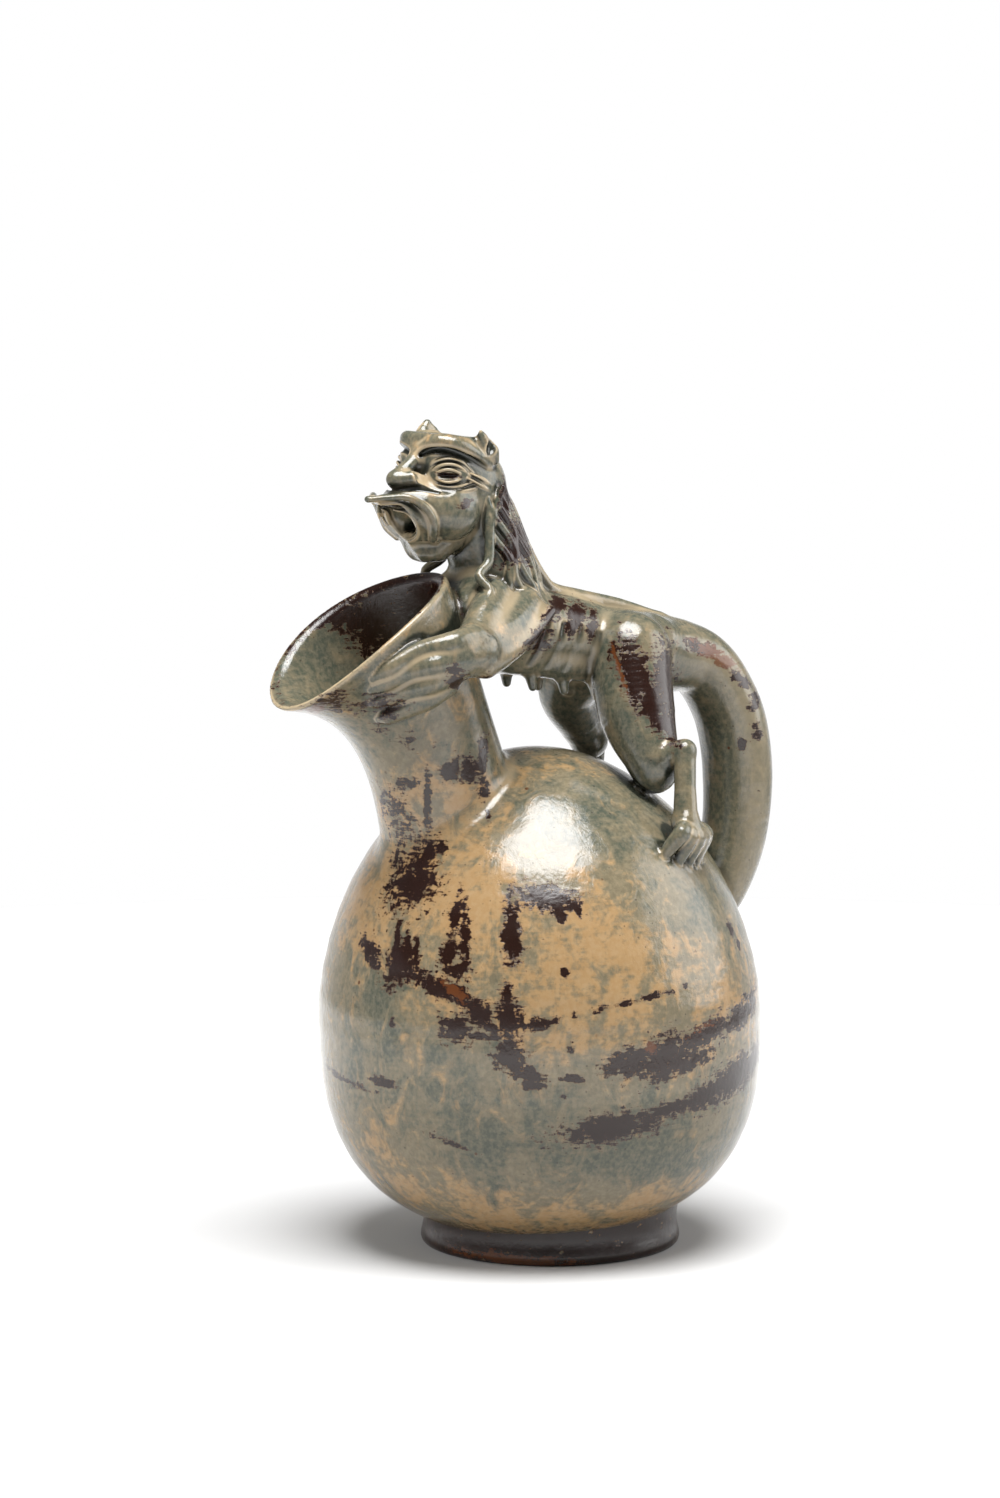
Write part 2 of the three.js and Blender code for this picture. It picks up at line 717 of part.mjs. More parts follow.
place("foot_ring", seated(footBlank(), globeSeat), iron);
place("belly", mainBody(globeOutside.subtract(globeHollow).subtract(neckBore)), ochre);
place("neck", seated(neckForm(0).subtract(neckBore), globeSeat), celadon);
place("torso", seated(torsoForm(0), neckSeat), celadon);
place("tail_handle", seated(tailForm(0), torsoSeat, globeSeat), celadon);
place("throat", seated(throatForm(0), torsoSeat, neckSeat), celadon);
place("head", seated(headForm(0), throatSeat, neckSeat), celadon);
place("upper_lip", seated(upperLipForm(0), headSeat), celadon);
place("lower_jaw", seated(lowerJawForm(0), headSeat, throatSeat, neckSeat, lipSeat), celadon);
place("tongue", seated(tongueForm(), headSeat, jawSeat, lipSeat), celadon);
place("mane", seated(maneForm(0), headSeat, throatSeat, torsoSeat), iron);

for (const [word, side, stance, foot, droop] of [
  ["left", -1, LEFT_STANCE, footLeft, 1],
  ["right", 1, RIGHT_STANCE, footRight, 0.3],
]) {
  const armSeat = armForm(side, GAP);
  const thighSeat = thighForm(side, stance, foot, GAP);
  const shinSeat = shinForm(side, stance, foot, GAP);
  place(`ear_${word}`, seated(earForm(side), headSeat), celadon);
  place(`eye_${word}`, seated(eyeForm(side), headSeat), iron);
  place(`arm_${word}`, seated(armForm(side, 0), torsoSeat, throatSeat, neckSeat), celadon);
  place(`hand_${word}`, seated(handForm(side, droop), armSeat, neckSeat), celadon);
  place(`thigh_${word}`, seated(thighForm(side, stance, foot, 0), torsoSeat, tailSeat, globeSeat), iron);
  place(`shin_${word}`, seated(shinForm(side, stance, foot, 0), thighSeat, globeSeat), celadon);
  place(`foot_${word}`, seated(footForm(side, stance, foot), shinSeat, thighSeat, globeSeat), celadon);
  for (const [row, back] of [["front", 0], ["back", 6.5]])
    place(
      `lock_${word}_${row}`,
      seated(lockForm(side, back), headSeat, throatSeat, torsoSeat, armSeat, maneSeat),
      iron,
    );
  for (let i = 0; i < TEAT_ROWS; i++)
    place(`teat_${word}_${i + 1}`, seated(teatForm(side, i), torsoSeat, thighSeat), celadon);
}

// The origin lies on the table, under the middle of the jug's overall box.
const middle = new THREE.Box3().setFromObject(jug).getCenter(new THREE.Vector3());
jug.position.set(-middle.x, -middle.y, 0);

const part = new THREE.Group();
part.add(jug);

export default part;
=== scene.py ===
"""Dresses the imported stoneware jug: modelled clay, pooled celadon glaze, studio floor, light and camera.

Clay is described in millimetres, in a frame centred on the foot ring, with the mouth towards -X and the
beast's left side towards -Y. Every finished mesh is in metres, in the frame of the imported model.
"""

import logging
import math
import time
from collections.abc import Callable
from dataclasses import dataclass, field
from enum import Enum

import bpy
import numpy as np
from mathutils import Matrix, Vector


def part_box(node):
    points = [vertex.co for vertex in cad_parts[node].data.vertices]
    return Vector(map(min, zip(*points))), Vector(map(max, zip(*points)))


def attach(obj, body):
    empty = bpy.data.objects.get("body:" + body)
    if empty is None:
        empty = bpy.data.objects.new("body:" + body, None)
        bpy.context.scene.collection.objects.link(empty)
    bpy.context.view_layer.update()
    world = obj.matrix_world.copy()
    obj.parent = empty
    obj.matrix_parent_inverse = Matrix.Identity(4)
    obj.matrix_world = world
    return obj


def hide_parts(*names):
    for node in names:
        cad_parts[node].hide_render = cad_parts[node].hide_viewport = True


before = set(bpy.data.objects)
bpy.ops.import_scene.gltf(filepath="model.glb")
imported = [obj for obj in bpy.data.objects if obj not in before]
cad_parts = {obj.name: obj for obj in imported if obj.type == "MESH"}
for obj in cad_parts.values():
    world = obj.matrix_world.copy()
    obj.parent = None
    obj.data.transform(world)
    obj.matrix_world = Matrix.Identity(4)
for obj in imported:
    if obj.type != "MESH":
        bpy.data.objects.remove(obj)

import openvdb
from mathutils import Matrix, Vector

LOG = logging.getLogger("jug")
Array = np.ndarray
Point = tuple[float, float, float]
Socket = bpy.types.NodeSocket
Value = Socket | float | tuple[float, ...]

MM = 0.001
FAR = 1000.0
REACH = 4.0
BLOCK = 16
CELL = 4
BAND = 3.0
TETRAHEDRON = np.array([[1, -1, -1], [-1, -1, 1], [-1, 1, -1], [1, 1, 1]], float)
SINK_SLOPE = 0.12
SINK_DEPTH = 1.5
FEELER = 0.4
PRESSES = 3
DOWN = (0.0, 0.0, -1.0)
WALL = 5.0
FLOOR = 9.0
THROWING_RINGS = 0.4
FACING_STEEP = 4.0
FACING_START = 0.8
GLOBE_DEEP = 40.0
SPOT_EDGE = 0.06
GLAZED = "_glazed"
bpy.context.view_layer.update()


class Side(Enum):
    """The beast's left side is the camera's side."""

    LEFT = -1
    RIGHT = 1

    @property
    def word(self) -> str:
        """The side's word in a piece's name."""
        return self.name.lower()


class Slot(Enum):
    """Names of the material slots."""

    CELADON = "celadon_glaze"
    OCHRE = "ochre_glaze"
    IRON = "iron_glaze"


def smooth_join(a: Array, b: Array, blend: float) -> Array:
    """Joins two distance fields with a soft fillet.

    Args:
        a: first field.
        b: second field.
        blend: width of the fillet in millimetres.

    Returns:
        The joined field.
    """
    share = np.clip(0.5 + 0.5 * (b - a) / blend, 0.0, 1.0)
    return b + (a - b) * share - blend * share * (1.0 - share)


def smooth_cut(a: Array, tool: Array, blend: float) -> Array:
    """Cuts one field out of another and softens the edge."""
    return -smooth_join(-a, tool, blend)


def spline(points: list[Point], steps: int) -> Array:
    """A Catmull-Rom curve through points.

    Args:
        points: places that the curve passes through.
        steps: stretches between two places.

    Returns:
        Rows of coordinates along the curve.
    """
    fixed = np.array(points, float)
    if len(fixed) == 2:
        return fixed
    padded = np.vstack([2 * fixed[0] - fixed[1], fixed, 2 * fixed[-1] - fixed[-2]])
    rows = []
    for i in range(len(fixed) - 1):
        p0, p1, p2, p3 = padded[i : i + 4]
        for t in np.arange(steps) / steps:
            rows.append(
                0.5 * (2 * p1 + (p2 - p0) * t + (2 * p0 - 5 * p1 + 4 * p2 - p3) * t**2
                       + (3 * p1 - p0 - 3 * p2 + p3) * t**3)
            )
    rows.append(fixed[-1])
    return np.array(rows)


def turn_matrix(degrees: Point) -> Array:
    """Rotation about X, then Y, then Z.

    Args:
        degrees: the three turns.

    Returns:
        The matrix that turns a column.
    """
    x, y, z = np.radians(degrees)
    about_x = np.array([[1, 0, 0], [0, math.cos(x), -math.sin(x)], [0, math.sin(x), math.cos(x)]])
    about_y = np.array([[math.cos(y), 0, math.sin(y)], [0, 1, 0], [-math.sin(y), 0, math.cos(y)]])
    about_z = np.array([[math.cos(z), -math.sin(z), 0], [math.sin(z), math.cos(z), 0], [0, 0, 1]])
    return about_z @ about_y @ about_x


class Form:
    """A form of clay as a distance in millimetres, below zero inside it."""

    corners: tuple[Array, Array]

    def distance(self, p: Array) -> Array:
        """The signed distance from rows of points."""
        raise NotImplementedError

    def box(self) -> tuple[Array, Array]:
        """Lowest and highest corner."""
        return self.corners


def box_gap(form: Form, low: Array, high: Array) -> float:
    """How far a box lies from a form's own box.

    Args:
        form: the form.
        low: the box's lowest corner.
        high: its highest corner.

    Returns:
        Millimetres from box to box, nought where they overlap.
    """
    own_low, own_high = form.box()
    apart = np.maximum(np.maximum(own_low - high, low - own_high), 0.0)
    return float(np.linalg.norm(apart))


@dataclass
class Lump(Form):
    """An ellipsoid of clay."""

    centre: Point
    half: Point
    turn: Point = (0.0, 0.0, 0.0)

    def __post_init__(self) -> None:
        """Works out the turned axes and the box."""
        self.axes = turn_matrix(self.turn)
        reach = np.sqrt(((self.axes * np.array(self.half)) ** 2).sum(1))
        self.corners = np.array(self.centre) - reach, np.array(self.centre) + reach

    def distance(self, p: Array) -> Array:
        """The signed distance from rows of points.

        Args:
            p: rows of points in millimetres.

        Returns:
            Millimetres from the surface, below zero inside.
        """
        local = (p - np.array(self.centre)) @ self.axes
        half = np.array(self.half)
        near = np.linalg.norm(local / half, axis=1)
        slope = np.linalg.norm(local / half**2, axis=1)
        return near * (near - 1.0) / np.maximum(slope, 1e-6)


@dataclass
class Coil(Form):
    """A rolled coil of clay along a smooth curve; stretch widens it along Y about its own curve."""

    points: list[Point]
    radii: list[float]
    stretch: float = 1.0
    steps: int = 4

    def __post_init__(self) -> None:
        """Lays out the curve's stretches and their radii."""
        self.scale = np.array([1.0, 1.0 / self.stretch, 1.0])
        rows = spline(self.points, self.steps)
        count = len(rows)
        places = np.linspace(0, len(self.radii) - 1, count)
        self.sizes = np.interp(places, np.arange(len(self.radii)), self.radii)
        reach = np.array([1.0, self.stretch, 1.0]) * self.sizes[:, None]
        self.corners = (rows - reach).min(0), (rows + reach).max(0)
        scaled = rows * self.scale
        self.starts = scaled[:-1]
        self.spans = np.diff(scaled, axis=0)
        self.lengths = (self.spans**2).sum(1) + 1e-9

    def distance(self, p: Array) -> Array:
        """The signed distance from rows of points; stretches that can't be the nearest are left out.

        Args:
            p: rows of points in millimetres.

        Returns:
            Millimetres from the surface, below zero inside.
        """
        scaled = p * self.scale
        low, high = scaled.min(0), scaled.max(0)
        middle = 0.5 * (low + high)
        reach = 0.5 * float(np.linalg.norm(high - low))
        share = np.clip(((middle - self.starts) * self.spans).sum(1) / self.lengths, 0.0, 1.0)
        apart = np.linalg.norm(middle - self.starts - share[:, None] * self.spans, axis=1)
        apart -= self.sizes[:-1] + share * np.diff(self.sizes)
        best = np.full(len(p), FAR)
        for i in np.flatnonzero(apart <= apart.min() + 2.0 * reach):
            along = self.spans[i]
            offset = scaled - self.starts[i]
            share = np.clip(offset @ along / self.lengths[i], 0.0, 1.0)
            offset -= share[:, None] * along
            size = self.sizes[i] + (self.sizes[i + 1] - self.sizes[i]) * share
            np.minimum(best, np.sqrt(np.einsum("ij,ij->i", offset, offset)) - size, out=best)
        return best


@dataclass
class Block(Form):
    """A rounded block with upright corners of one radius and level edges of another."""

    centre: Point
    half: Point
    corner: float
    edge: float
    turn: Point = (0.0, 0.0, 0.0)

    def __post_init__(self) -> None:
        """Works out the turned axes and the box."""
        self.axes = turn_matrix(self.turn)
        reach = np.abs(self.axes) @ np.array(self.half)
        self.corners = np.array(self.centre) - reach, np.array(self.centre) + reach

    def distance(self, p: Array) -> Array:
        """The signed distance from rows of points.

        Args:
            p: rows of points in millimetres.

        Returns:
            Millimetres from the surface, below zero inside.
        """
        local = np.abs((p - np.array(self.centre)) @ self.axes) - np.array(self.half)
        plan = local[:, :2] + self.corner
        upright = np.minimum(plan.max(1), 0.0) + np.linalg.norm(np.maximum(plan, 0.0), axis=1) - self.corner
        pair = np.stack([upright, local[:, 2]], 1) + self.edge
        return np.minimum(pair.max(1), 0.0) + np.linalg.norm(np.maximum(pair, 0.0), axis=1) - self.edge


@dataclass
class Joined(Form):
    """Forms pressed together with soft fillets; those far from the points asked for are left out."""

    members: list[Form]
    blend: float = 2.0

    def __post_init__(self) -> None:
        """Works out the box."""
        lows, highs = zip(*(m.box() for m in self.members))
        self.corners = np.min(lows, 0), np.max(highs, 0)

    def distance(self, p: Array) -> Array:
        """The signed distance from rows of points.

        Args:
            p: rows of points in millimetres.

        Returns:
            Millimetres from the surface, below zero inside.
        """
        low, high = p.min(0), p.max(0)
        made = np.full(len(p), FAR)
        for member in self.members:
            if box_gap(member, low, high) < REACH + self.blend:
                made = smooth_join(made, member.distance(p), self.blend)
        return made


@dataclass
class Carved(Form):
    """A form with others cut out of it."""

    body: Form
    cuts: list[Form]
    blend: float = 1.0

    def distance(self, p: Array) -> Array:
        """The signed distance from rows of points.

        Args:
            p: rows of points in millimetres.

        Returns:
            Millimetres from the surface, below zero inside.
        """
        low, high = p.min(0), p.max(0)
        made = self.body.distance(p)
        for cut in self.cuts:
            if box_gap(cut, low, high) < REACH + self.blend:
                made = smooth_cut(made, cut.distance(p), self.blend)
        return made

    def box(self) -> tuple[Array, Array]:
        """Lowest and highest corner."""
        return self.body.box()


@dataclass
class Posed(Form):
    """A form described in a frame of its own, turned about Z and set at a place."""

    body: Form
    place: Point
    turn: float

    def __post_init__(self) -> None:
        """Works out the turned axes and the box."""
        self.axes = turn_matrix((0.0, 0.0, self.turn))
        low, high = self.body.box()
        spans = zip(low, high)
        ends = np.stack(np.meshgrid(*spans, indexing="ij"), -1).reshape(-1, 3)
        placed = ends @ self.axes.T + np.array(self.place)
        self.corners = placed.min(0), placed.max(0)

    def distance(self, p: Array) -> Array:
        """The signed distance from rows of points."""
        return self.body.distance((p - np.array(self.place)) @ self.axes)


@dataclass
class Globe(Form):
    """The thrown globe, fuller below than above, leaning a little towards the mouth."""

    centre: Point = (-4.0, 0.0, 72.5)
    radius: float = 71.0
    upper: float = 88.0
    lower: float = 67.5
    upper_power: float = 1.9
    lower_power: float = 2.6
    ease: float = 26.0
    base: float = -68.5
    lean: float = -2.0
    ring_depth: float = 0.05
    ring_pitch: float = 9.0
    ring_sway: float = 0.6
    sway_length: float = 17.0
    base_round: float = 1.5
    lean_room: float = 3.0
    top_room: float = 1.0

    def __post_init__(self) -> None:
        """Works out the leaning axes."""
        self.axes = turn_matrix((0.0, self.lean, 0.0))

    def distance(self, p: Array) -> Array:
        """The signed distance from rows of points.

        Args:
            p: rows of points in millimetres.

        Returns:
            Millimetres from the surface, below zero inside.
        """
        local = (p - np.array(self.centre)) @ self.axes
        around = np.hypot(local[:, 0], local[:, 1])
        height = local[:, 2]
        rise = np.clip(0.5 + height / (2.0 * self.ease), 0.0, 1.0)
        rise = rise * rise * (3.0 - 2.0 * rise)
        half = self.lower + (self.upper - self.lower) * rise
        power = self.lower_power + (self.upper_power - self.lower_power) * rise
        wide = np.maximum(around / self.radius, 1e-4)
        tall = np.maximum(np.abs(height) / half, 1e-4)
        level = (wide**power + tall**power) ** (1.0 / power)
        slope = np.hypot((wide / level) ** (power - 1) / self.radius, (tall / level) ** (power - 1) / half)
        sway = self.ring_sway * np.sin(height / self.sway_length)
        rings = self.ring_depth * np.sin(2 * math.pi * height / self.ring_pitch + sway)
        return smooth_cut((level - 1.0) / slope - rings, height - self.base, self.base_round)

    def box(self) -> tuple[Array, Array]:
        """Lowest and highest corner.

        Returns:
            The two corners.
        """
        reach = np.array([self.radius + self.lean_room, self.radius, self.upper + self.top_room])
        middle = np.array(self.centre)
        return middle - np.array([reach[0], reach[1], self.lean_room - self.base]), middle + reach


@dataclass
class Neck(Form):
    """The neck and mouth: sections that span a front line and a back line and open out at the top."""

    front: tuple[Point, ...] = ((-57.0, 0, 118.5), (-59.0, 0, 152.5), (-68.0, 0, 175.5), (-97.0, 0, 176.0))
    back: tuple[Point, ...] = ((-14.9, 0, 146.0), (-23.4, 0, 166.5), (-29.4, 0, 186.5), (-41.5, 0, 218.0))
    half_width: float = 22.3
    mouth_half_width: float = 30.0
    bow: float = 4.5
    wall: float = 4.2
    flare_from: float = 0.4
    flare_power: float = 1.6
    bow_from: float = 0.5
    sections: int = 40
    side_room: float = 1.0
    box_x: tuple[float, float] = (-99.0, -13.0)
    box_z: tuple[float, float] = (117.0, 223.0)

    def __post_init__(self) -> None:
        """Lays out the sections."""
        share = np.linspace(0, 1, self.sections)
        front = self.line(self.front, share)
        back = self.line(self.back, share)
        along = back - front
        self.half_long = np.linalg.norm(along, axis=1) / 2
        self.along = along / (2 * self.half_long[:, None])
        self.normal = np.stack([-self.along[:, 1], self.along[:, 0]], 1)
        self.middle = (front + back) / 2
        widen = (np.maximum(share - self.flare_from, 0) / (1.0 - self.flare_from)) ** self.flare_power
        self.half_wide = self.half_width + (self.mouth_half_width - self.half_width) * widen
        self.bows = self.bow * np.maximum(share - self.bow_from, 0) / (1.0 - self.bow_from)

    @staticmethod
    def line(handles: tuple[Point, ...], share: Array) -> Array:
        """A cubic curve in the upright plane.

        Args:
            handles: its two ends and two handles.
            share: places along it, from 0 to 1.

        Returns:
            Rows of X and Z.
        """
        a, b, c, d = (np.array([h[0], h[2]]) for h in handles)
        t = share[:, None]
        return (1 - t) ** 3 * a + 3 * (1 - t) ** 2 * t * b + 3 * (1 - t) * t**2 * c + t**3 * d

    def section(self, flat: Array) -> tuple[Array, Array, Array]:
        """The section that passes through each point of the upright plane.

        Args:
            flat: rows of X and Z.

        Returns:
            The section's place as a float index, and the heights over the last and the first section.
        """
        height = flat @ self.normal.T - (self.middle * self.normal).sum(1)
        above = height > 0
        low = np.clip(above.sum(1) - 1, 0, self.sections - 2)
        rows = np.arange(len(flat))
        first, second = height[rows, low], height[rows, low + 1]
        part = np.clip(first / np.where(np.abs(first - second) < 1e-6, 1e-6, first - second), 0, 1)
        return low + part, height[:, -1], height[:, 0]

    def measure(self, p: Array) -> tuple[Array, Array, Array]:
        """Distances from the neck's outside, its mouth plane and its root plane.

        Args:
            p: rows of points in millimetres.

        Returns:
            The three distances.
        """
        flat = p[:, [0, 2]]
        index = np.arange(self.sections)
        place, _, _ = self.section(flat)
        wide = np.interp(place, index, self.half_wide)
        lift = np.interp(place, index, self.bows) * np.clip(np.abs(p[:, 1]) / wide, 0, 1.25) ** 2
        normal = np.stack([np.interp(place, index, self.normal[:, k]) for k in (0, 1)], 1)
        flat = flat - normal * lift[:, None]
        place, over, root = self.section(flat)
        wide = np.interp(place, index, self.half_wide)
        long = np.interp(place, index, self.half_long)
        middle = np.stack([np.interp(place, index, self.middle[:, k]) for k in (0, 1)], 1)
        along = np.stack([np.interp(place, index, self.along[:, k]) for k in (0, 1)], 1)
        u = np.einsum("ij,ij->i", flat - middle, along)
        v = p[:, 1]
        level = np.sqrt((u / long) ** 2 + (v / wide) ** 2)
        slope = np.sqrt((u / long**2) ** 2 + (v / wide**2) ** 2)
        side = level * (level - 1.0) / np.maximum(slope, 1e-6)
        side = np.maximum(side, -np.minimum(long, wide))
        return side, over, root

    def readings(self, p: Array) -> tuple[Array, Array, Array]:
        """Distances from the wall with its rounded rim, from the neck as if filled, and from its bore.

        Args:
            p: rows of points in millimetres.

        Returns:
            The three distances.
        """
        side, over, root = self.measure(p)
        half = self.wall / 2
        past = np.maximum(over + half, 0.0)
        wall = np.maximum(np.hypot(np.abs(side + half), past) - half, -root)
        return wall, np.maximum(np.maximum(side, over), -root), np.maximum(side + self.wall, -root)

    def distance(self, p: Array) -> Array:
        """The signed distance from the wall."""
        return self.readings(p)[0]

    def box(self) -> tuple[Array, Array]:
        """Lowest and highest corner.

        Returns:
            The two corners.
        """
        wide = self.mouth_half_width + self.side_room
        low, high = zip(self.box_x, (-wide, wide), self.box_z)
        return np.array(low), np.array(high)


@dataclass
class Clay:
    """All the clay of the jug: named pieces, luted together, with one hollow through globe and neck."""

    globe: Globe
    neck: Neck
    hollow: Globe
    bore_blend: float = 4.0
    rim_blend: float = 0.6
    pieces: dict[str, Form] = field(default_factory=dict)
    blends: dict[str, float] = field(default_factory=dict)
    seats: dict[str, tuple[str, ...]] = field(default_factory=dict)

    def add(self, name: str, form: Form, blend: float, *seats: str) -> None:
        """Adds a piece.

        Args:
            name: its node's name.
            form: its clay.
            blend: width of the fillet where it is luted on.
            seats: pieces that keep their own clay where this one meets them.
        """
        self.pieces[name] = form
        self.blends[name] = blend
        self.seats[name] = seats

    def settle(self) -> None:
        """Keeps every piece's box, once all the pieces are there."""
        self.names = list(self.pieces)
        corners = [self.pieces[n].box() for n in self.names]
        self.lows = np.array([low for low, _ in corners])
        self.highs = np.array([high for _, high in corners])
        self.reaches = np.array([REACH + self.blends[n] for n in self.names])

    def near(self, p: Array) -> list[str]:
        """The pieces whose boxes lie near rows of points.

        Args:
            p: rows of points in millimetres.

        Returns:
            Their names.
        """
        apart = np.maximum(np.maximum(self.lows - p.max(0), p.min(0) - self.highs), 0.0)
        close = (apart**2).sum(1) < self.reaches**2
        return [n for n, c in zip(self.names, close) if c]

    def probe(self, p: Array) -> tuple[Array, dict[str, Array]]:
        """Feels the clay at rows of points.

        Args:
            p: rows of points in millimetres.

        Returns:
            The distance from all the clay, luted and hollow, and each near piece's filled clay by itself.
        """
        filled: dict[str, Array] = {}
        made = np.full(len(p), FAR)
        inside = self.hollow.distance(p)
        for name in self.near(p):
            if name == "neck":
                wall, filled[name], bore = self.neck.readings(p)
                made = smooth_join(made, wall, self.blends[name])
                inside = smooth_join(inside, bore, self.bore_blend)
                continue
            filled[name] = self.pieces[name].distance(p)
            made = smooth_join(made, filled[name], self.blends[name])
        return smooth_cut(made, inside, self.rim_blend), filled

    def surface(self, p: Array) -> Array:
        """The distance from all the clay, for rows of points."""
        return self.probe(p)[0]

    def shares(self, whole: Array, filled: dict[str, Array], wanted: list[str]) -> dict[str, Array]:
        """Parts the clay into pieces, each running a little way under the pieces that it meets.

        Args:
            whole: the distance from all the clay.
            filled: each near piece's filled clay.
            wanted: the pieces asked for.

        Returns:
            The distance from each wanted piece that is near.
        """
        kept = {}
        for name, gap in filled.items():
            for seat in self.seats[name]:
                if seat in filled:
                    gap = np.maximum(gap, -filled[seat])
            kept[name] = gap
        made = {}
        for name in wanted:
            if name not in kept:
                continue
            others = [gap for other, gap in kept.items() if other != name]
            if not others:
                made[name] = whole
                continue
            edge = 0.5 * (kept[name] - np.minimum.reduce(others))
            made[name] = np.maximum(whole + SINK_SLOPE * np.maximum(edge, 0.0), edge - SINK_DEPTH)
        return made


@dataclass
class PieceMesh:
    """A piece's quads, with what the glaze needs to know at each vertex."""

    vertices: Array
    quads: Array
    normals: Array
    recess: Array
    crest: Array


@dataclass
class Zone:
    """Pieces that are meshed on one grid."""

    step: float
    members: list[str]


@dataclass
class Mesher:
    """Turns pieces of clay into quads, on blocks of grid cells that are felt only near the surface."""

    clay: Clay
    coarse: float = 1.0
    slope_step: float = 0.2
    recess_reach: float = 2.2
    crest_reach: float = 0.8
    least_slope: float = 0.4
    longest_move: float = 0.3
    zone_room: float = 3.0
    piece_room: float = 2.5
    cell_reach: float = 0.95
    cell_slack: float = 0.3

    def __post_init__(self) -> None:
        """Numbers a block's nodes and the cells that they belong to."""
        self.nodes = np.stack(np.meshgrid(*[np.arange(BLOCK + 1)] * 3, indexing="ij"), -1).reshape(-1, 3)
        count = BLOCK // CELL
        self.cells = np.stack(np.meshgrid(*[np.arange(count)] * 3, indexing="ij"), -1).reshape(-1, 3)
        lowest = self.cells[:, None, :] * CELL
        self.within = ((self.nodes >= lowest) & (self.nodes <= lowest + CELL)).all(2)
        home = np.minimum(self.nodes // CELL, count - 1)
        self.home = (home[:, 0] * count + home[:, 1]) * count + home[:, 2]

    def in_groups(self, ask: Callable[[Array], Array], p: Array, size: float) -> Array:
        """Asks for values at many points, in groups that lie close together.

        Args:
            ask: a function of rows of points that gives a row of values for each.
            p: rows of points.
            size: width of a group's cell.

        Returns:
            The values in the points' own order.
        """
        cell = np.floor(p / size).astype(int)
        cell -= cell.min(0)
        span = cell.max(0) + 1
        key = (cell[:, 0] * span[1] + cell[:, 1]) * span[2] + cell[:, 2]
        order = np.argsort(key, kind="stable")
        cuts = np.flatnonzero(np.diff(key[order])) + 1
        made = [ask(p[rows]) for rows in np.split(order, cuts)]
        back = np.empty(len(p), int)
        back[order] = np.arange(len(p))
        return np.concatenate(made)[back]

    def feel(self, p: Array) -> Array:
        """Feels the clay round close points.

        Args:
            p: rows of points near the surface.

        Returns:
            Rows of the point drawn on to the surface, its normal, its recess and its crest.
        """
        count = len(p)
        around = np.vstack([p + c * self.slope_step for c in TETRAHEDRON])
        found = self.clay.surface(around).reshape(4, count)
        slope = (TETRAHEDRON.T @ found).T / (4.0 * self.slope_step)
        steep = np.maximum(np.linalg.norm(slope, axis=1), 1e-6)
        normal = slope / steep[:, None]
        step = found.mean(0) / np.maximum(steep, self.least_slope)
        step = np.clip(step, -self.longest_move, self.longest_move)
        moved = p - normal * step[:, None]
        probes = np.vstack([moved + normal * self.recess_reach, moved - normal * self.crest_reach])
        out, deep = self.clay.surface(probes).reshape(2, count)
        return np.column_stack([moved, normal, self.recess_reach - out, self.crest_reach + deep])

    def zone(self, zone: Zone) -> dict[str, PieceMesh]:
        """Meshes the pieces of a zone.

        Args:
            zone: the pieces and their quad size.

        Returns:
            Each piece's mesh, in millimetres.
        """
        step = zone.step * self.coarse
        width = step * BLOCK
        boxes = [self.clay.pieces[n].box() for n in zone.members]
        low = np.min([b[0] for b in boxes], 0) - self.zone_room
        high = np.max([b[1] for b in boxes], 0) + self.zone_room
        blocks = np.ceil((high - low) / width).astype(int)
        spans = {}
        values = {}
        for name, (own_low, own_high) in zip(zone.members, boxes):
            first = np.maximum(np.floor((own_low - self.piece_room - low) / width).astype(int), 0)
            last = np.minimum(np.ceil((own_high + self.piece_room - low) / width).astype(int), blocks)
            spans[name] = first, last
            values[name] = np.full((last - first) * BLOCK + 1, BAND, np.float32)
        for at in np.ndindex(*blocks):
            at = np.array(at)
            here = [n for n in zone.members if (at >= spans[n][0]).all() and (at < spans[n][1]).all()]
            if not here:
                continue
            for name, level in self.block(low + at * width, step, here).items():
                first = (at - spans[name][0]) * BLOCK
                window = tuple(slice(a, a + BLOCK + 1) for a in first)
                values[name][window] = level.reshape([BLOCK + 1] * 3)
        return {n: self.skin(values[n], low + spans[n][0] * width, step) for n in zone.members}

    def block(self, corner: Array, step: float, names: list[str]) -> dict[str, Array]:
        """Feels one block of the grid.

        Args:
            corner: its lowest corner.
            step: the grid's step in millimetres.
            names: the pieces asked for.

        Returns:
            For each piece that is near, the distance at every node, in steps.
        """
        middles = corner + (self.cells + 0.5) * CELL * step
        rough = self.clay.shares(*self.clay.probe(middles), names)
        reach = self.cell_reach * CELL * step + self.cell_slack
        active = np.zeros(len(self.cells), bool)
        for level in rough.values():
            active |= np.abs(level) < reach
        made = {n: np.where(level[self.home] < 0, -BAND, BAND) for n, level in rough.items()}
        if not active.any():
            return made
        wanted = self.within[active].any(0)
        fine = self.clay.shares(*self.clay.probe(corner + self.nodes[wanted] * step), names)
        for name, level in fine.items():
            made[name][wanted] = np.clip(level / step, -BAND, BAND)
        return made

    def skin(self, values: Array, low: Array, step: float) -> PieceMesh:
        """Skins a grid of distances.

        Args:
            values: distances in steps.
            low: the grid's lowest corner.
            step: the grid's step in millimetres.

        Returns:
            The mesh, drawn on to the true surface.
        """
        grid = openvdb.FloatGrid(BAND)
        grid.copyFromArray(values)
        vertices, quads = grid.convertToQuads(isovalue=0.0)
        vertices = low + np.asarray(vertices, float) * step
        felt = self.in_groups(self.feel, vertices, BLOCK * step)
        return PieceMesh(felt[:, :3], np.asarray(quads), felt[:, 3:6], felt[:, 6], felt[:, 7])


def mirrored(points: list[Point], side: Side) -> list[Point]:
    """Points written for the left side, given for either side."""
    flip = -side.value
    return [(x, flip * y, z) for x, y, z in points]


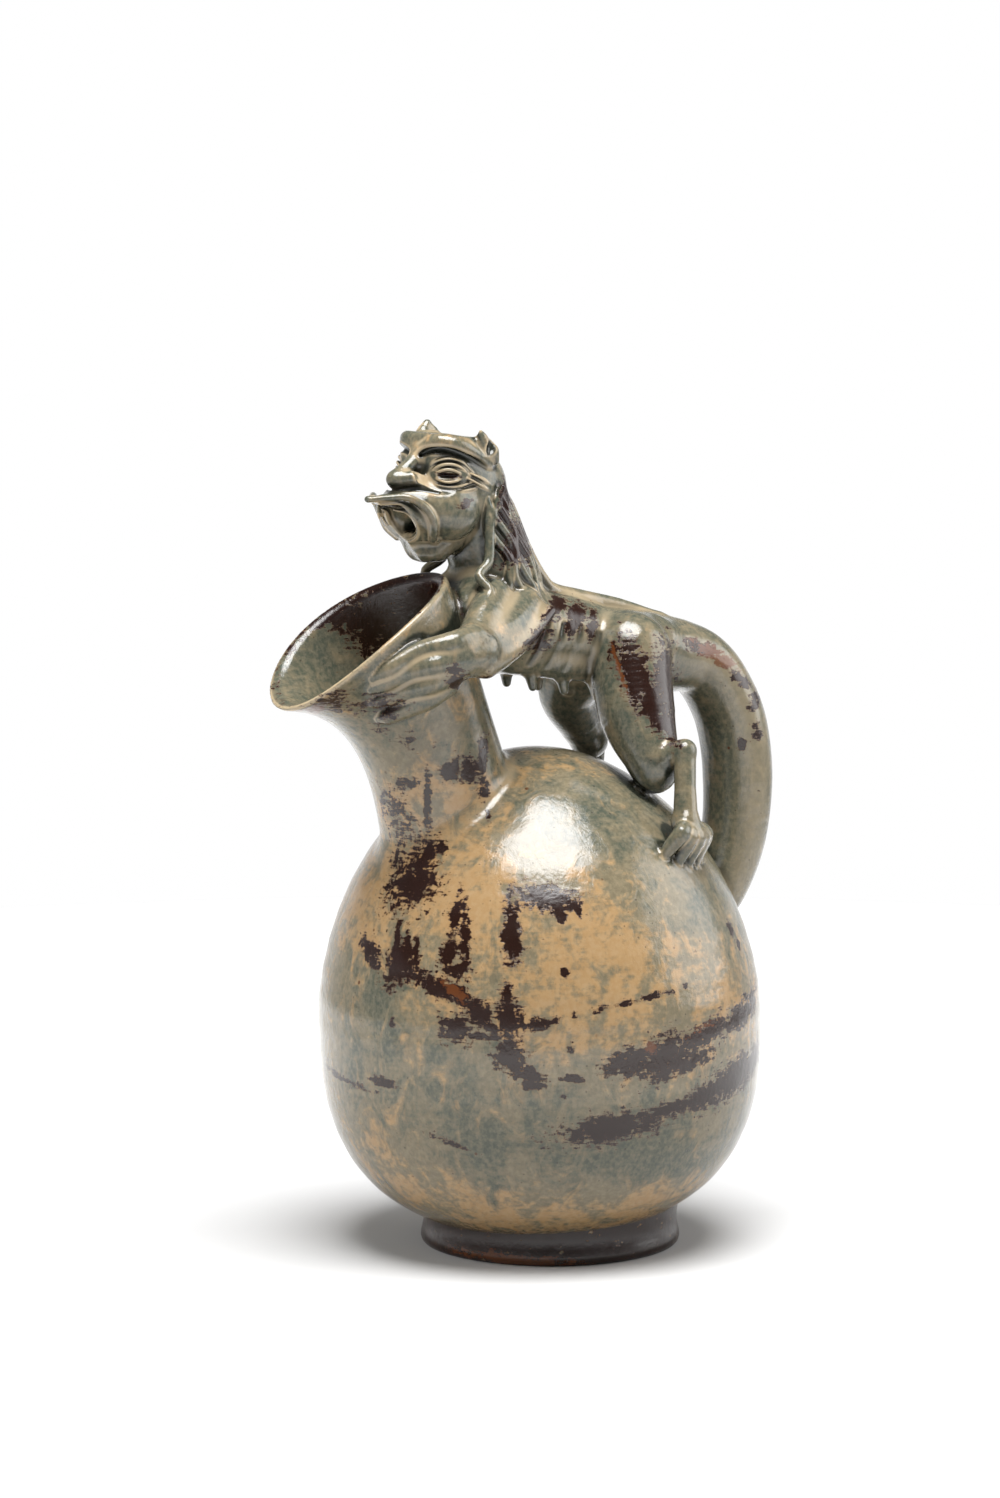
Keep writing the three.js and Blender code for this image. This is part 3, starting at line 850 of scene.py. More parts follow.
def pressed(wall: Callable[[Array], Array], points: list[Point], gaps: tuple[float, ...]) -> list[Point]:
    """Draws points on to a wall of clay.

    Args:
        wall: the distance from the wall for rows of points.
        points: places near it.
        gaps: how far off the wall each point ends.

    Returns:
        The points in their new places.
    """
    rows = np.array(points, float)
    for _ in range(PRESSES):
        found = wall(np.vstack([rows + corner * FEELER for corner in TETRAHEDRON])).reshape(4, len(rows))
        slope = (TETRAHEDRON.T @ found).T
        slope /= np.maximum(np.linalg.norm(slope, axis=1), 1e-6)[:, None]
        rows = rows - slope * (found.mean(0) - np.array(gaps))[:, None]
    return [tuple(row) for row in rows]


@dataclass
class Head:
    """The beast's head, in a frame at the middle of the skull with the face towards -X."""

    place: Point = (-37.0, 0.0, 243.5)
    turn: float = 16.0
    skull_half: Point = (17.0, 14.4, 13.0)
    crown_half: Point = (12.6, 13.4, 7.3)
    crown_corner: float = 9.0
    muzzle_half: Point = (12.5, 12.0, 10.5)
    eye_place: Point = (-11.2, -11.0, 4.7)
    eye_half: Point = (6.4, 3.3, 4.4)
    opening_half: Point = (3.8, 1.9, 0.75)
    socket_half: Point = (10.0, 4.2, 7.2)
    face_bend: float = 10.0
    face_bearing: float = -45.0

    def posed(self, form: Form) -> Posed:
        """A form of the head in its place."""
        return Posed(form, self.place, self.turn)

    def on_face(self, side: Side, across: float, up: float, out: float) -> Point:
        """A point on the rounded corner of the face.

        Args:
            side: the side of the face.
            across: millimetres from the eye towards the ear.
            up: millimetres above the eye.
            out: millimetres off the face.

        Returns:
            The point in the head's frame.
        """
        bearing = math.radians(self.face_bearing)
        deep = across**2 / (2.0 * self.face_bend) - out
        x = self.eye_place[0] + math.cos(bearing) * across - math.sin(bearing) * deep
        y = self.eye_place[1] + math.sin(bearing) * across + math.cos(bearing) * deep
        return mirrored([(x, y, self.eye_place[2] + up)], side)[0]

    def face_line(self, side: Side, marks: list[Point], radii: list[float]) -> Coil:
        """A roll along marks on the face, each given as across, up and out."""
        return Coil([self.on_face(side, *m) for m in marks], radii)

    def face_lump(self, side: Side, mark: Point, half: Point) -> Lump:
        """A lump that lies along the face at a mark."""
        return Lump(self.on_face(side, *mark), half, (0.0, 0.0, -side.value * self.face_bearing))

    def skull(self) -> Form:
        """Skull, flat crown, nose, muzzle and cheeks, with the sockets, brow grooves and mouth cut in.

        Returns:
            The head's clay in its place.
        """
        members: list[Form] = [
            Lump((3.0, 0, 1.5), self.skull_half),
            Block((-1.6, 0, 9.5), self.crown_half, self.crown_corner, 2.4, (3.0, 5.0, 0.0)),
            Lump((-13.6, 0, -6.6), self.muzzle_half),
            Coil([(-12.0, 0, 10.6), (-16.6, 0, 7.6), (-20.8, 0, 5.2), (-23.6, 0, 3.5)], [3.4, 2.5, 2.3, 1.9]),
        ]
        cuts: list[Form] = [
            Lump((-28.0, 0, -9.6), (11.5, 9.2, 7.2), (0, 20.0, 0)),
            Coil([(-24.0, 0, -8.6), (-17.0, 0, -11.5), (-11.0, 0, -13.6)], [4.2, 2.6, 1.6]),
        ]
        for side in Side:
            wing = [(-23.2, -0.8, 3.3), (-20.4, -3.8, 3.8), (-17.2, -6.4, 3.9), (-14.4, -8.8, 2.4)]
            members.append(Coil(mirrored(wing, side), [1.8, 2.1, 2.0, 1.1]))
            members.append(Lump(mirrored([(-6.5, -7.0, -6.5)], side)[0], (10.5, 8.2, 9.5)))
            ridge = [(-9.0, 6.4, -1.4), (-6.2, 9.0, -1.0), (-2.5, 10.2, -0.8), (3.0, 9.0, -0.8),
                     (8.4, 6.2, -1.2), (12.4, 3.4, -1.6)]
            if side is Side.RIGHT:
                ridge = [(across, up - 1.6, out - 3.6) for across, up, out in ridge]
            members.append(self.face_line(side, ridge, [0.9, 1.6, 2.1, 2.1, 1.9, 1.2]))
            sunk = 2.3 if side is Side.LEFT else 2.8
            cuts.append(self.face_lump(side, (-0.4, 1.5, sunk), self.socket_half))
            groove = [(-10.0, 4.4, 0.2), (-7.1, 7.0, -0.3), (-2.7, 8.0, -0.5), (2.7, 6.8, -0.5),
                      (8.4, 4.0, -0.4), (11.8, 1.6, 0.0)]
            cuts.append(self.face_line(side, groove, [0.25, 0.8, 1.2, 1.2, 0.9, 0.4]))
            fold = [(-24.4, 0.0, -0.5), (-21.0, -4.2, 0.3), (-17.6, -7.4, 0.2), (-14.2, -9.8, -0.8)]
            cuts.append(Coil(mirrored(fold, side), [0.3, 1.0, 1.1, 0.5]))
        return self.posed(Carved(Joined(members, 2.4), cuts, 0.9))

    def upper_lip(self) -> Form:
        """The long curled lip that runs to a beak, and the folds inside it.

        Returns:
            The lip's clay in its place.
        """
        members: list[Form] = [
            Coil([(-17.0, 0, -3.6), (-24.0, 0, -3.0), (-30.0, 0, -2.8), (-34.6, 0, -2.5)],
                 [3.6, 2.4, 1.5, 0.7], stretch=1.8),
        ]
        for side in Side:
            rim = [(-35.0, -0.2, -2.4), (-29.4, -3.8, -2.0), (-25.2, -7.8, -2.0), (-20.9, -10.7, -5.0),
                   (-18.0, -11.3, -9.2), (-16.8, -10.4, -12.6), (-14.8, -8.2, -15.4)]
            members.append(Coil(mirrored(rim, side), [0.7, 1.0, 1.15, 1.2, 1.15, 1.1, 0.9]))
            middle = [(-31.0, -1.6, -3.9), (-25.4, -5.4, -3.9), (-22.0, -7.8, -7.6), (-18.6, -8.2, -11.8),
                      (-16.0, -6.4, -14.8)]
            members.append(Coil(mirrored(middle, side), [0.5, 0.75, 0.8, 0.75, 0.5]))
            inner = [(-26.4, -2.6, -5.8), (-22.6, -4.8, -6.8), (-19.8, -5.8, -10.2), (-16.6, -4.8, -13.8)]
            members.append(Coil(mirrored(inner, side), [0.45, 0.65, 0.65, 0.4]))
        return self.posed(Joined(members, 1.0))

    def lower_jaw(self) -> Form:
        """The square chin and the lip over it.

        Returns:
            The jaw's clay in its place.
        """
        members: list[Form] = [
            Coil([(-2.0, 0, -12.5), (-7.0, 0, -15.6), (-10.5, 0, -17.4)], [8.4, 6.6, 5.0], stretch=1.2),
            Block((-10.4, 0, -18.0), (6.4, 6.6, 4.4), 4.6, 2.6),
            Coil([(-12.8, -7.4, -15.0), (-17.0, 0, -15.6), (-12.8, 7.4, -15.0)], [1.2, 1.5, 1.2]),
        ]
        return self.posed(Joined(members, 2.0))

    def tongue(self) -> Form:
        """The tongue, low in the open mouth."""
        body = Coil([(-7.0, 0, -16.4), (-12.5, 0, -15.2), (-17.0, 0, -14.2)], [2.6, 2.0, 1.1], stretch=1.6)
        return self.posed(Carved(body, [Coil([(-8.0, 0, -13.6), (-17.5, 0, -13.0)], [0.7, 0.4])], 0.8))

    def ear(self, side: Side) -> Form:
        """A small pointed ear with a hollow front.

        Args:
            side: the side that it is on.

        Returns:
            The ear's clay in its place.
        """
        if side is Side.LEFT:
            leaf = Joined([
                Coil([(3.0, -12.2, 12.0), (1.4, -13.4, 15.6), (0.1, -14.0, 18.2)], [3.3, 1.9, 0.35]),
                Coil([(4.0, -12.4, 13.0), (5.8, -13.4, 11.6), (7.0, -14.0, 8.6)], [2.4, 2.2, 1.0]),
            ], 1.8)
            dish = Lump((3.6, -15.6, 13.0), (1.7, 1.7, 3.2), (0, 25, 0))
        else:
            leaf = Joined([
                Coil([(-2.0, 12.0, 14.0), (1.0, 12.4, 17.4), (2.6, 12.4, 20.0)], [2.4, 2.2, 0.6]),
                Coil([(7.0, 12.0, 13.0), (4.6, 12.6, 17.0), (2.9, 12.4, 19.9)], [3.0, 2.3, 0.6]),
            ], 2.5)
            dish = Lump((1.0, 14.8, 16.0), (3.0, 2.2, 3.8))
        return self.posed(Carved(leaf, [dish], 0.8))

    def eye(self, side: Side) -> Form:
        """A slit eye in rings of folded lids, with lines that run out from its corner.

        Args:
            side: the side that it is on.

        Returns:
            The eye's clay in its place.
        """
        members: list[Form] = [self.face_lump(side, (0.0, -0.1, -3.0), self.eye_half)]
        lids = [
            (0.6, [(-4.8, -0.5, -0.7), (-2.6, 1.1, 0.2), (0.0, 1.7, 0.5), (2.6, 1.1, 0.3),
                   (5.0, -0.9, -0.5)]),
            (0.65, [(-6.0, -0.6, -1.0), (-3.6, 2.2, -0.1), (0.0, 3.3, 0.2), (3.8, 2.3, 0.0),
                    (6.8, -0.8, -0.6)]),
            (0.6, [(-6.6, 0.2, -1.3), (-4.2, 3.7, -0.6), (0.0, 5.0, -0.3), (4.2, 3.9, -0.5),
                   (7.8, 0.4, -0.8)]),
            (0.55, [(-4.8, -0.5, -0.7), (-2.4, -1.7, 0.2), (0.0, -2.2, 0.5), (2.6, -1.9, 0.3),
                    (5.0, -0.9, -0.5)]),
            (0.6, [(-5.6, -1.6, -1.0), (-3.0, -3.2, -0.1), (0.4, -3.8, 0.1), (4.0, -3.4, -0.1),
                   (7.4, -2.4, -0.6)]),
            (0.5, [(-4.4, -3.8, -1.0), (-1.8, -4.9, -0.5), (1.4, -5.3, -0.4), (5.0, -5.0, -0.5),
                   (8.6, -4.2, -0.8)]),
            (0.5, [(5.0, -0.9, -0.4), (6.8, -1.5, -0.1), (8.6, -2.5, -0.1), (10.6, -3.8, -0.2),
                   (12.8, -5.6, -0.5)]),
            (0.5, [(6.6, 0.4, -0.5), (8.0, -0.2, -0.1), (9.6, -1.0, -0.1), (11.4, -2.2, -0.2),
                   (13.2, -3.8, -0.5)]),
        ]
        for radius, marks in lids:
            members.append(self.face_line(side, marks, [0.35, radius, radius, radius, 0.3]))
        opening = self.face_lump(side, (0.1, -0.25, 0.7), self.opening_half)
        return self.posed(Carved(Joined(members, 0.35), [opening], 0.3))


@dataclass
class Beast:
    """The modelled beast that grips the mouth, stands on the shoulder and is the handle."""

    chest: Point = (-17.5, 0.0, 198.5)
    hip: Point = (29.0, 0.0, 189.5)
    torso_stretch: float = 1.15
    tail_stretch: float = 1.2
    throat_line: tuple[Point, ...] = (
        (-18.5, 0, 203.0), (-23.0, 0, 221.0), (-27.0, 0, 231.0), (-32.0, 0, 242.0),
    )
    throat_radii: tuple[float, ...] = (15.0, 12.5, 11.8, 11.6)
    strand_wave: float = 7.0
    strand_proud: float = 0.5
    finger_gaps: tuple[float, ...] = (2.4, 0.9, -0.2)

    def torso(self) -> Form:
        """Chest, ribs, belly and haunches along the spine.

        Returns:
            The torso's clay.
        """
        spine = [(-30.0, 0, 203.0), self.chest, (0.0, 0, 196.8), (15.0, 0, 193.0), self.hip, (41.5, 0, 187.5)]
        ridge = [(-8.0, 0, 212.4), (8.0, 0, 208.8), (25.0, 0, 205.0), (40.0, 0, 200.2)]
        members: list[Form] = [
            Coil(spine, [12.0, 14.4, 12.8, 12.2, 13.2, 11.2], stretch=self.torso_stretch, steps=8),
            Coil(ridge, [1.2, 1.8, 1.8, 1.2]),
        ]
        cuts: list[Form] = []
        for side in Side:
            haunch = [(20.0, -8.0, 194.0), (31.0, -9.0, 192.5), (40.0, -6.5, 189.5)]
            members.append(Coil(mirrored(haunch, side), [8.6, 9.6, 7.6], steps=8))
            sag = [(-16.0, -7.0, 189.5), (-2.0, -7.4, 186.6), (11.0, -7.0, 184.6)]
            members.append(Coil(mirrored(sag, side), [4.2, 4.4, 3.6], steps=8))
            breast = [(-31.5, -8.0, 209.5), (-34.5, -10.5, 204.0), (-32.0, -9.5, 195.0)]
            members.append(Coil(mirrored(breast, side), [7.0, 8.6, 8.4], steps=8))
            for i in range(4):
                start = -10.0 + 6.5 * i
                rib = [(start, -14.6, 201.5 - 1.6 * i), (start - 2.0, -16.2, 195.0 - 1.6 * i),
                       (start - 5.0, -13.0, 188.0 - 1.2 * i)]
                cuts.append(Coil(mirrored(rib, side), [0.4, 0.8, 0.4]))
        return Carved(Joined(members, 4.0), cuts, 2.0)

    def tail(self) -> Form:
        """The tail that bends down to the shoulder as the handle.

        Returns:
            The tail's clay.
        """
        path = [(36.0, 0, 188.5), (47.0, 0, 188.0), (56.0, 0, 184.2), (63.2, 0, 175.6), (68.5, 0, 163.7),
                (70.8, 0, 146.4), (69.3, 0, 127.5), (63.5, 0, 111.5), (54.0, 0, 100.0)]
        sizes = [11.0, 11.0, 10.8, 10.8, 10.9, 10.8, 10.1, 9.2, 8.6]
        return Coil(path, sizes, stretch=self.tail_stretch, steps=8)

    def throat(self) -> Form:
        """The neck of the beast."""
        return Coil(list(self.throat_line), list(self.throat_radii), steps=8)

    def strand(self, side: Side, bearing: float, top: float, low: float, size: float,
               waves: float = 1.5) -> Coil:
        """A wavy strand of hair laid on the throat.

        Args:
            side: the side that it lies on.
            bearing: degrees from the side towards the nape.
            top: height of its upper end.
            low: height of its lower end.
            size: its radius.
            waves: how often it swings to and fro.

        Returns:
            The strand.
        """
        heights = [p[2] for p in self.throat_line]
        marks = 4 * math.ceil(waves) + 1
        path = []
        for z in np.linspace(top, low, marks):
            swing = math.sin(2.0 * math.pi * waves * (top - z) / (top - low) + bearing)
            angle = math.radians(bearing + self.strand_wave * swing)
            reach = np.interp(z, heights, self.throat_radii) + self.strand_proud
            axis = np.interp(z, heights, [p[0] for p in self.throat_line])
            path.append((float(axis + reach * math.sin(angle)), float(-reach * math.cos(angle)), float(z)))
        return Coil(mirrored(path, side), [0.5 * size] + [size] * (marks - 2) + [0.4 * size])

    def mane(self) -> Form:
        """Hair combed down the nape to the withers.

        Returns:
            The mane's clay.
        """
        members: list[Form] = [
            Coil([(-24.0, 0, 248.0), (-17.0, 0, 237.0), (-11.0, 0, 224.0), (-3.5, 0, 213.0), (4.0, 0, 208.6)],
                 [2.6, 3.0, 3.0, 2.6, 1.4], stretch=1.5),
        ]
        for side in Side:
            for bearing in (56.0, 70.0, 84.0):
                members.append(self.strand(side, bearing, 246.0, 210.0, 1.9))
        return Joined(members, 0.9)

    def lock(self, side: Side, back: bool) -> Form:
        """Wavy strands that hang down the side of the neck; the front ones fall on the shoulder.

        Args:
            side: the side that it is on.
            back: whether it is the row at the back.

        Returns:
            The lock's clay.
        """
        if back:
            bearings = (10.0, 24.0, 39.0)
            return Joined([self.strand(side, b, 240.0 + 0.05 * b, 208.0, 1.5) for b in bearings], 0.8)
        fall = [(-24.6, -12.6, 244.0), (-26.7, -12.0, 239.1), (-28.4, -12.3, 234.8), (-29.4, -12.6, 230.4),
                (-29.8, -13.4, 226.1), (-31.2, -15.0, 220.6), (-35.8, -17.4, 216.8), (-33.8, -20.4, 212.7),
                (-35.0, -21.8, 210.2), (-38.4, -23.4, 207.3), (-38.4, -24.4, 205.0)]
        sizes = [0.9, 1.3, 1.5, 1.6, 1.6, 1.6, 1.5, 1.6, 1.5, 1.3, 0.7]
        return Joined([Coil(mirrored(fall, side), sizes), self.strand(side, -4.0, 238.0, 209.0, 1.5)], 0.8)

    def arm(self, side: Side) -> Form:
        """The upper arm as a broad slab with a pointed shoulder, a sharp hem and the hollow under it.

        Args:
            side: the side that it is on.

        Returns:
            The arm's clay.
        """
        upper = [(-29.0, -15.0, 211.0), (-37.0, -22.5, 205.5), (-44.5, -29.5, 198.6)]
        bone = [(-18.0, -13.0, 205.6), (-28.0, -21.0, 200.4), (-38.0, -27.2, 195.6), (-45.0, -30.4, 193.6)]
        hem = [(-11.0, -19.4, 205.0), (-18.0, -23.0, 200.0), (-27.0, -27.0, 194.8), (-41.0, -32.2, 188.8)]
        under = [(-7.0, -20.0, 199.2), (-18.0, -22.4, 193.0), (-29.0, -26.4, 187.2), (-40.0, -29.0, 182.0)]
        cuff = [(-44.6, -37.6, 200.6), (-43.0, -38.4, 195.0), (-42.4, -37.2, 189.0)]
        body = Joined([
            Coil(mirrored(upper, side), [4.6, 5.0, 5.0], steps=8),
            Coil(mirrored(bone, side), [7.0, 7.0, 6.6, 6.2], steps=8),
            Coil(mirrored(hem, side), [1.5, 1.8, 2.0, 2.2]),
        ], 5.0)
        return Carved(body, [
            Coil(mirrored(under, side), [3.0, 4.0, 4.0, 3.4]),
            Coil(mirrored(cuff, side), [0.5, 0.8, 0.5]),
        ], 0.8)

    def hand(self, side: Side) -> Form:
        """A hand whose four fingers lie forward over the mouth's wall and run out on it.

        Args:
            side: the side that it is on.

        Returns:
            The hand's clay.
        """
        palm = Coil(mirrored([(-44.0, -29.6, 194.4), (-51.0, -30.8, 193.0), (-57.5, -29.8, 189.0)], side),
                    [7.6, 7.4, 6.2], steps=8)
        fingers = [
            [(-46.0, -32.0, 199.4), (-55.0, -34.4, 197.6), (-64.0, -34.0, 194.2), (-73.0, -30.0, 189.4),
             (-77.0, -26.6, 186.6)],
            [(-51.0, -33.4, 194.4), (-60.0, -34.0, 191.4), (-67.0, -32.0, 188.0), (-73.4, -28.2, 184.4),
             (-76.6, -25.0, 182.4)],
            [(-53.0, -32.4, 189.2), (-61.0, -32.2, 185.6), (-67.0, -29.6, 182.2), (-72.4, -25.8, 179.2),
             (-75.4, -22.6, 177.4)],
            [(-54.0, -30.4, 184.8), (-60.6, -29.4, 180.6), (-65.4, -26.4, 177.0), (-69.6, -22.6, 173.8),
             (-72.0, -19.4, 172.0)],
        ]
        members: list[Form] = [palm]
        neck = Neck()
        for path in fingers:
            tip = pressed(lambda p: neck.readings(p)[1], path[2:], self.finger_gaps)
            members.append(Coil(mirrored(path[:2] + tip, side), [3.8, 3.7, 3.3, 2.7, 1.5], steps=6))
        return Joined(members, 1.8)

    def teat(self, side: Side, place: int) -> Form:
        """One of six teats, at the end of a small hanging fold.

        Args:
            side: the side that it is on.
            place: its place in the row, from the front.

        Returns:
            The teat's clay.
        """
        x = -12.0 + 11.5 * place
        z = 184.6 - 1.7 * place
        path = [(x - 2.0, -7.6, z + 6.0), (x, -8.0, z), (x + 0.6, -8.4, z - 4.2)]
        return Coil(mirrored(path, side), [3.0, 2.2, 1.4], steps=6)


@dataclass
class Leg:
    """One hind leg: heavy thigh, knee pressed to the globe, raised heel, and a paw on the shoulder."""

    side: Side
    thigh_line: tuple[Point, ...]
    heel: Point
    foot: Point
    out: Point
    thigh_radii: tuple[float, ...] = (13.4, 12.2, 9.0, 7.2)
    shin_radii: tuple[float, ...] = (6.0, 4.6, 3.3)
    heel_radii: tuple[float, ...] = (3.6, 3.4, 4.0)
    toes: tuple[tuple[float, float], ...] = ((10.6, 6.0), (5.8, 9.6), (0.8, 11.0), (-4.2, 11.0), (-8.8, 9.4))
    toe_radii: tuple[float, ...] = (2.6, 2.8, 1.8)
    toe_sink: float = 5.2
    toe_gaps: tuple[float, ...] = (1.6, -0.2)
    knuckle_rise: float = 0.6

    def thigh(self) -> Form:
        """The thigh, heavy at the hip."""
        return Coil(list(self.thigh_line), list(self.thigh_radii), steps=10)

    def shin(self) -> Form:
        """The folded shin, the raised heel behind it and the long foot bone down from the heel.

        Returns:
            The shin's clay.
        """
        knee, heel, foot = (np.array(p) for p in (self.thigh_line[-1], self.heel, self.foot))
        bulge = np.array([0.0, 0.0, 1.5])
        return Joined([
            Coil([tuple(knee), tuple((knee + heel) / 2 + bulge), tuple(heel)], list(self.shin_radii),
                 steps=6),
            Coil([tuple(heel), tuple((heel + foot) / 2), tuple(foot)], list(self.heel_radii), steps=6),
        ], 1.6)

    def paw(self) -> Form:
        """The paw with its knuckled toes, spread on the globe.

        Returns:
            The paw's clay.
        """
        foot, out = np.array(self.foot), np.array(self.out)
        out = out / np.linalg.norm(out)
        across = np.cross(out, np.array([0.0, 0.0, 1.0])) * -self.side.value
        across /= np.linalg.norm(across)
        down = np.cross(across, out)
        down = down if down[2] < 0 else -down
        globe = Globe()
        members: list[Form] = [Coil([self.foot, tuple(foot + down * 4.0 - out * 1.0)], [4.6, 4.8])]
        for aside, reach in self.toes:
            root = foot + across * 0.25 * aside + down * 0.2 * reach
            knuckle = foot + across * 0.7 * aside + down * 0.55 * reach + out * self.knuckle_rise
            tip = foot + across * aside + down * reach - out * self.toe_sink
            bend = foot + across * 0.92 * aside + down * 0.86 * reach - out * 0.45 * self.toe_sink
            radii = [self.toe_radii[0], self.toe_radii[1], 0.5 * sum(self.toe_radii[1:]), self.toe_radii[2]]
            ends = pressed(globe.distance, [tuple(bend), tuple(tip)], self.toe_gaps)
            members.append(Coil([tuple(root), tuple(knuckle), *ends], radii))
        return Joined(members, 1.3)


@dataclass
class FootRing:
    """The turned ring that the jug stands on."""

    radius: float = 41.8
    wall: float = 11.0
    waist: float = 0.9
    top: float = 14.6
    steps: int = 160

    def profile(self) -> list[Point]:
        """The ring's section, from its inside top round to its outside top, in millimetres.

        Returns:
            Rows of radius, nought and height.
        """
        inner, out = self.radius - self.wall, self.radius
        return [
            (inner, 0, self.top), (inner, 0, 1.4), (inner + 0.4, 0, 0.4), (inner + 1.4, 0, 0.0),
            (out - 2.0, 0, 0.0), (out - 0.9, 0, 0.25), (out - 0.3, 0, 0.9), (out, 0, 2.0),
            (out - 0.1, 0, 3.2), (out - 0.5, 0, 5.0), (out - self.waist, 0, 7.0), (out - self.waist, 0, 9.0),
            (out - self.waist + 0.2, 0, 11.0), (out - self.waist + 0.8, 0, self.top),
        ]

    def make(self, shift: Array) -> bpy.types.Object:
        """Turns the ring.

        Args:
            shift: the foot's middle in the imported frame.

        Returns:
            The ring's object.
        """
        rows = [Vector(p) * MM + Vector(shift) for p in self.profile()]
        mesh = bpy.data.meshes.new("foot_ring")
        mesh.from_pydata(rows, [(i, i + 1) for i in range(len(rows) - 1)], [])
        obj = bpy.data.objects.new("foot_ring" + GLAZED, mesh)
        bpy.context.scene.collection.objects.link(obj)
        bpy.ops.object.select_all(action="DESELECT")
        obj.select_set(True)
        bpy.context.view_layer.objects.active = obj
        bpy.ops.object.mode_set(mode="EDIT")
        bpy.ops.mesh.select_all(action="SELECT")
        bpy.ops.mesh.spin(steps=self.steps, angle=2.0 * math.pi, center=tuple(shift), axis=(0, 0, 1))
        bpy.ops.mesh.select_all(action="SELECT")
        bpy.ops.mesh.remove_doubles(threshold=1e-6)
        bpy.ops.mesh.normals_make_consistent(inside=False)
        bpy.ops.object.mode_set(mode="OBJECT")
        bpy.ops.object.shade_smooth()
        return obj


def zones() -> list[Zone]:
    """The pieces by how fine they are meshed.

    Returns:
        The zones, in the order that they are meshed.
    """
    made = [
        Zone(1.5, ["belly"]),
        Zone(0.85, ["neck"]),
        Zone(0.36, ["head", "upper_lip", "lower_jaw", "tongue", "ear_left", "ear_right", "eye_left",
                    "eye_right"]),
        Zone(0.5, ["throat", "mane"] + [f"lock_{s.word}_{row}" for s in Side for row in ("front", "back")]),
        Zone(0.7, ["tail_handle"]),
        Zone(0.6, ["torso"] + [f"teat_{s.word}_{i}" for s in Side for i in (1, 2, 3)]),
    ]
    for side in Side:
        made.append(Zone(0.48, [f"arm_{side.word}", f"hand_{side.word}"]))
        made.append(Zone(0.5, [f"thigh_{side.word}", f"shin_{side.word}", f"foot_{side.word}"]))
    return made


def model_clay() -> Clay:
    """Presses all the clay together.

    Returns:
        The clay, piece by piece.
    """
    globe = Globe()
    neck = Neck()
    hollow = Globe(radius=globe.radius - WALL, upper=globe.upper - WALL, lower=globe.lower - WALL,
                   base=globe.base + FLOOR, ring_depth=THROWING_RINGS)
    clay = Clay(globe, neck, hollow)
    beast = Beast()
    head = Head()
    clay.add("belly", globe, 1.0)
    clay.add("neck", neck, 4.5, "belly")
    clay.add("torso", beast.torso(), 2.0, "neck")
    clay.add("tail_handle", beast.tail(), 5.0, "torso", "belly")
    clay.add("throat", beast.throat(), 4.0, "torso", "neck")
    clay.add("head", head.skull(), 3.0, "throat", "neck")
    clay.add("upper_lip", head.upper_lip(), 1.8, "head")
    clay.add("lower_jaw", head.lower_jaw(), 0.8, "head", "throat", "neck")
    clay.add("tongue", head.tongue(), 0.8, "head", "lower_jaw", "upper_lip")
    clay.add("mane", beast.mane(), 1.6, "head", "throat", "torso")
    legs = {
        Side.LEFT: Leg(
            Side.LEFT,
            thigh_line=((22.0, -12.0, 190.0), (20.0, -20.0, 172.0), (20.5, -27.0, 160.0),
                        (21.0, -29.5, 154.0)),
            heel=(25.6, -40.0, 161.0), foot=(22.6, -45.6, 139.0), out=(0.42, -0.70, 0.58),
        ),
        Side.RIGHT: Leg(
            Side.RIGHT,
            thigh_line=((21.0, 11.0, 189.0), (16.8, 18.0, 176.5), (23.5, 22.6, 165.5), (29.0, 25.0, 158.5)),
            heel=(34.0, 29.5, 160.5), foot=(35.0, 33.0, 140.5), out=(0.55, 0.58, 0.60),
            thigh_radii=(13.0, 9.6, 7.2, 5.6),
        ),
    }
    for side, leg in legs.items():
        word = side.word
        clay.add(f"ear_{word}", head.ear(side), 1.4, "head")
        clay.add(f"eye_{word}", head.eye(side), 0.7, "head")
        clay.add(f"arm_{word}", beast.arm(side), 2.4, "torso", "throat", "neck")
        clay.add(f"hand_{word}", beast.hand(side), 1.4, f"arm_{word}", "neck")
        clay.add(f"thigh_{word}", leg.thigh(), 2.2, "torso", "tail_handle")
        clay.add(f"shin_{word}", leg.shin(), 2.0, f"thigh_{word}", "belly")
        clay.add(f"foot_{word}", leg.paw(), 1.2, f"shin_{word}", "belly")
        for row in ("front", "back"):
            clay.add(f"lock_{word}_{row}", beast.lock(side, row == "back"), 0.9, "head", "throat", "torso",
                     f"arm_{word}", "mane")
        for place in range(3):
            clay.add(f"teat_{word}_{place + 1}", beast.teat(side, place), 1.6, "torso", f"thigh_{word}")
    clay.settle()
    return clay


def foot_middle() -> Array:
    """The foot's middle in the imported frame, in metres."""
    low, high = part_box("foot_ring")
    return np.array([(low[0] + high[0]) / 2, (low[1] + high[1]) / 2, 0.0])


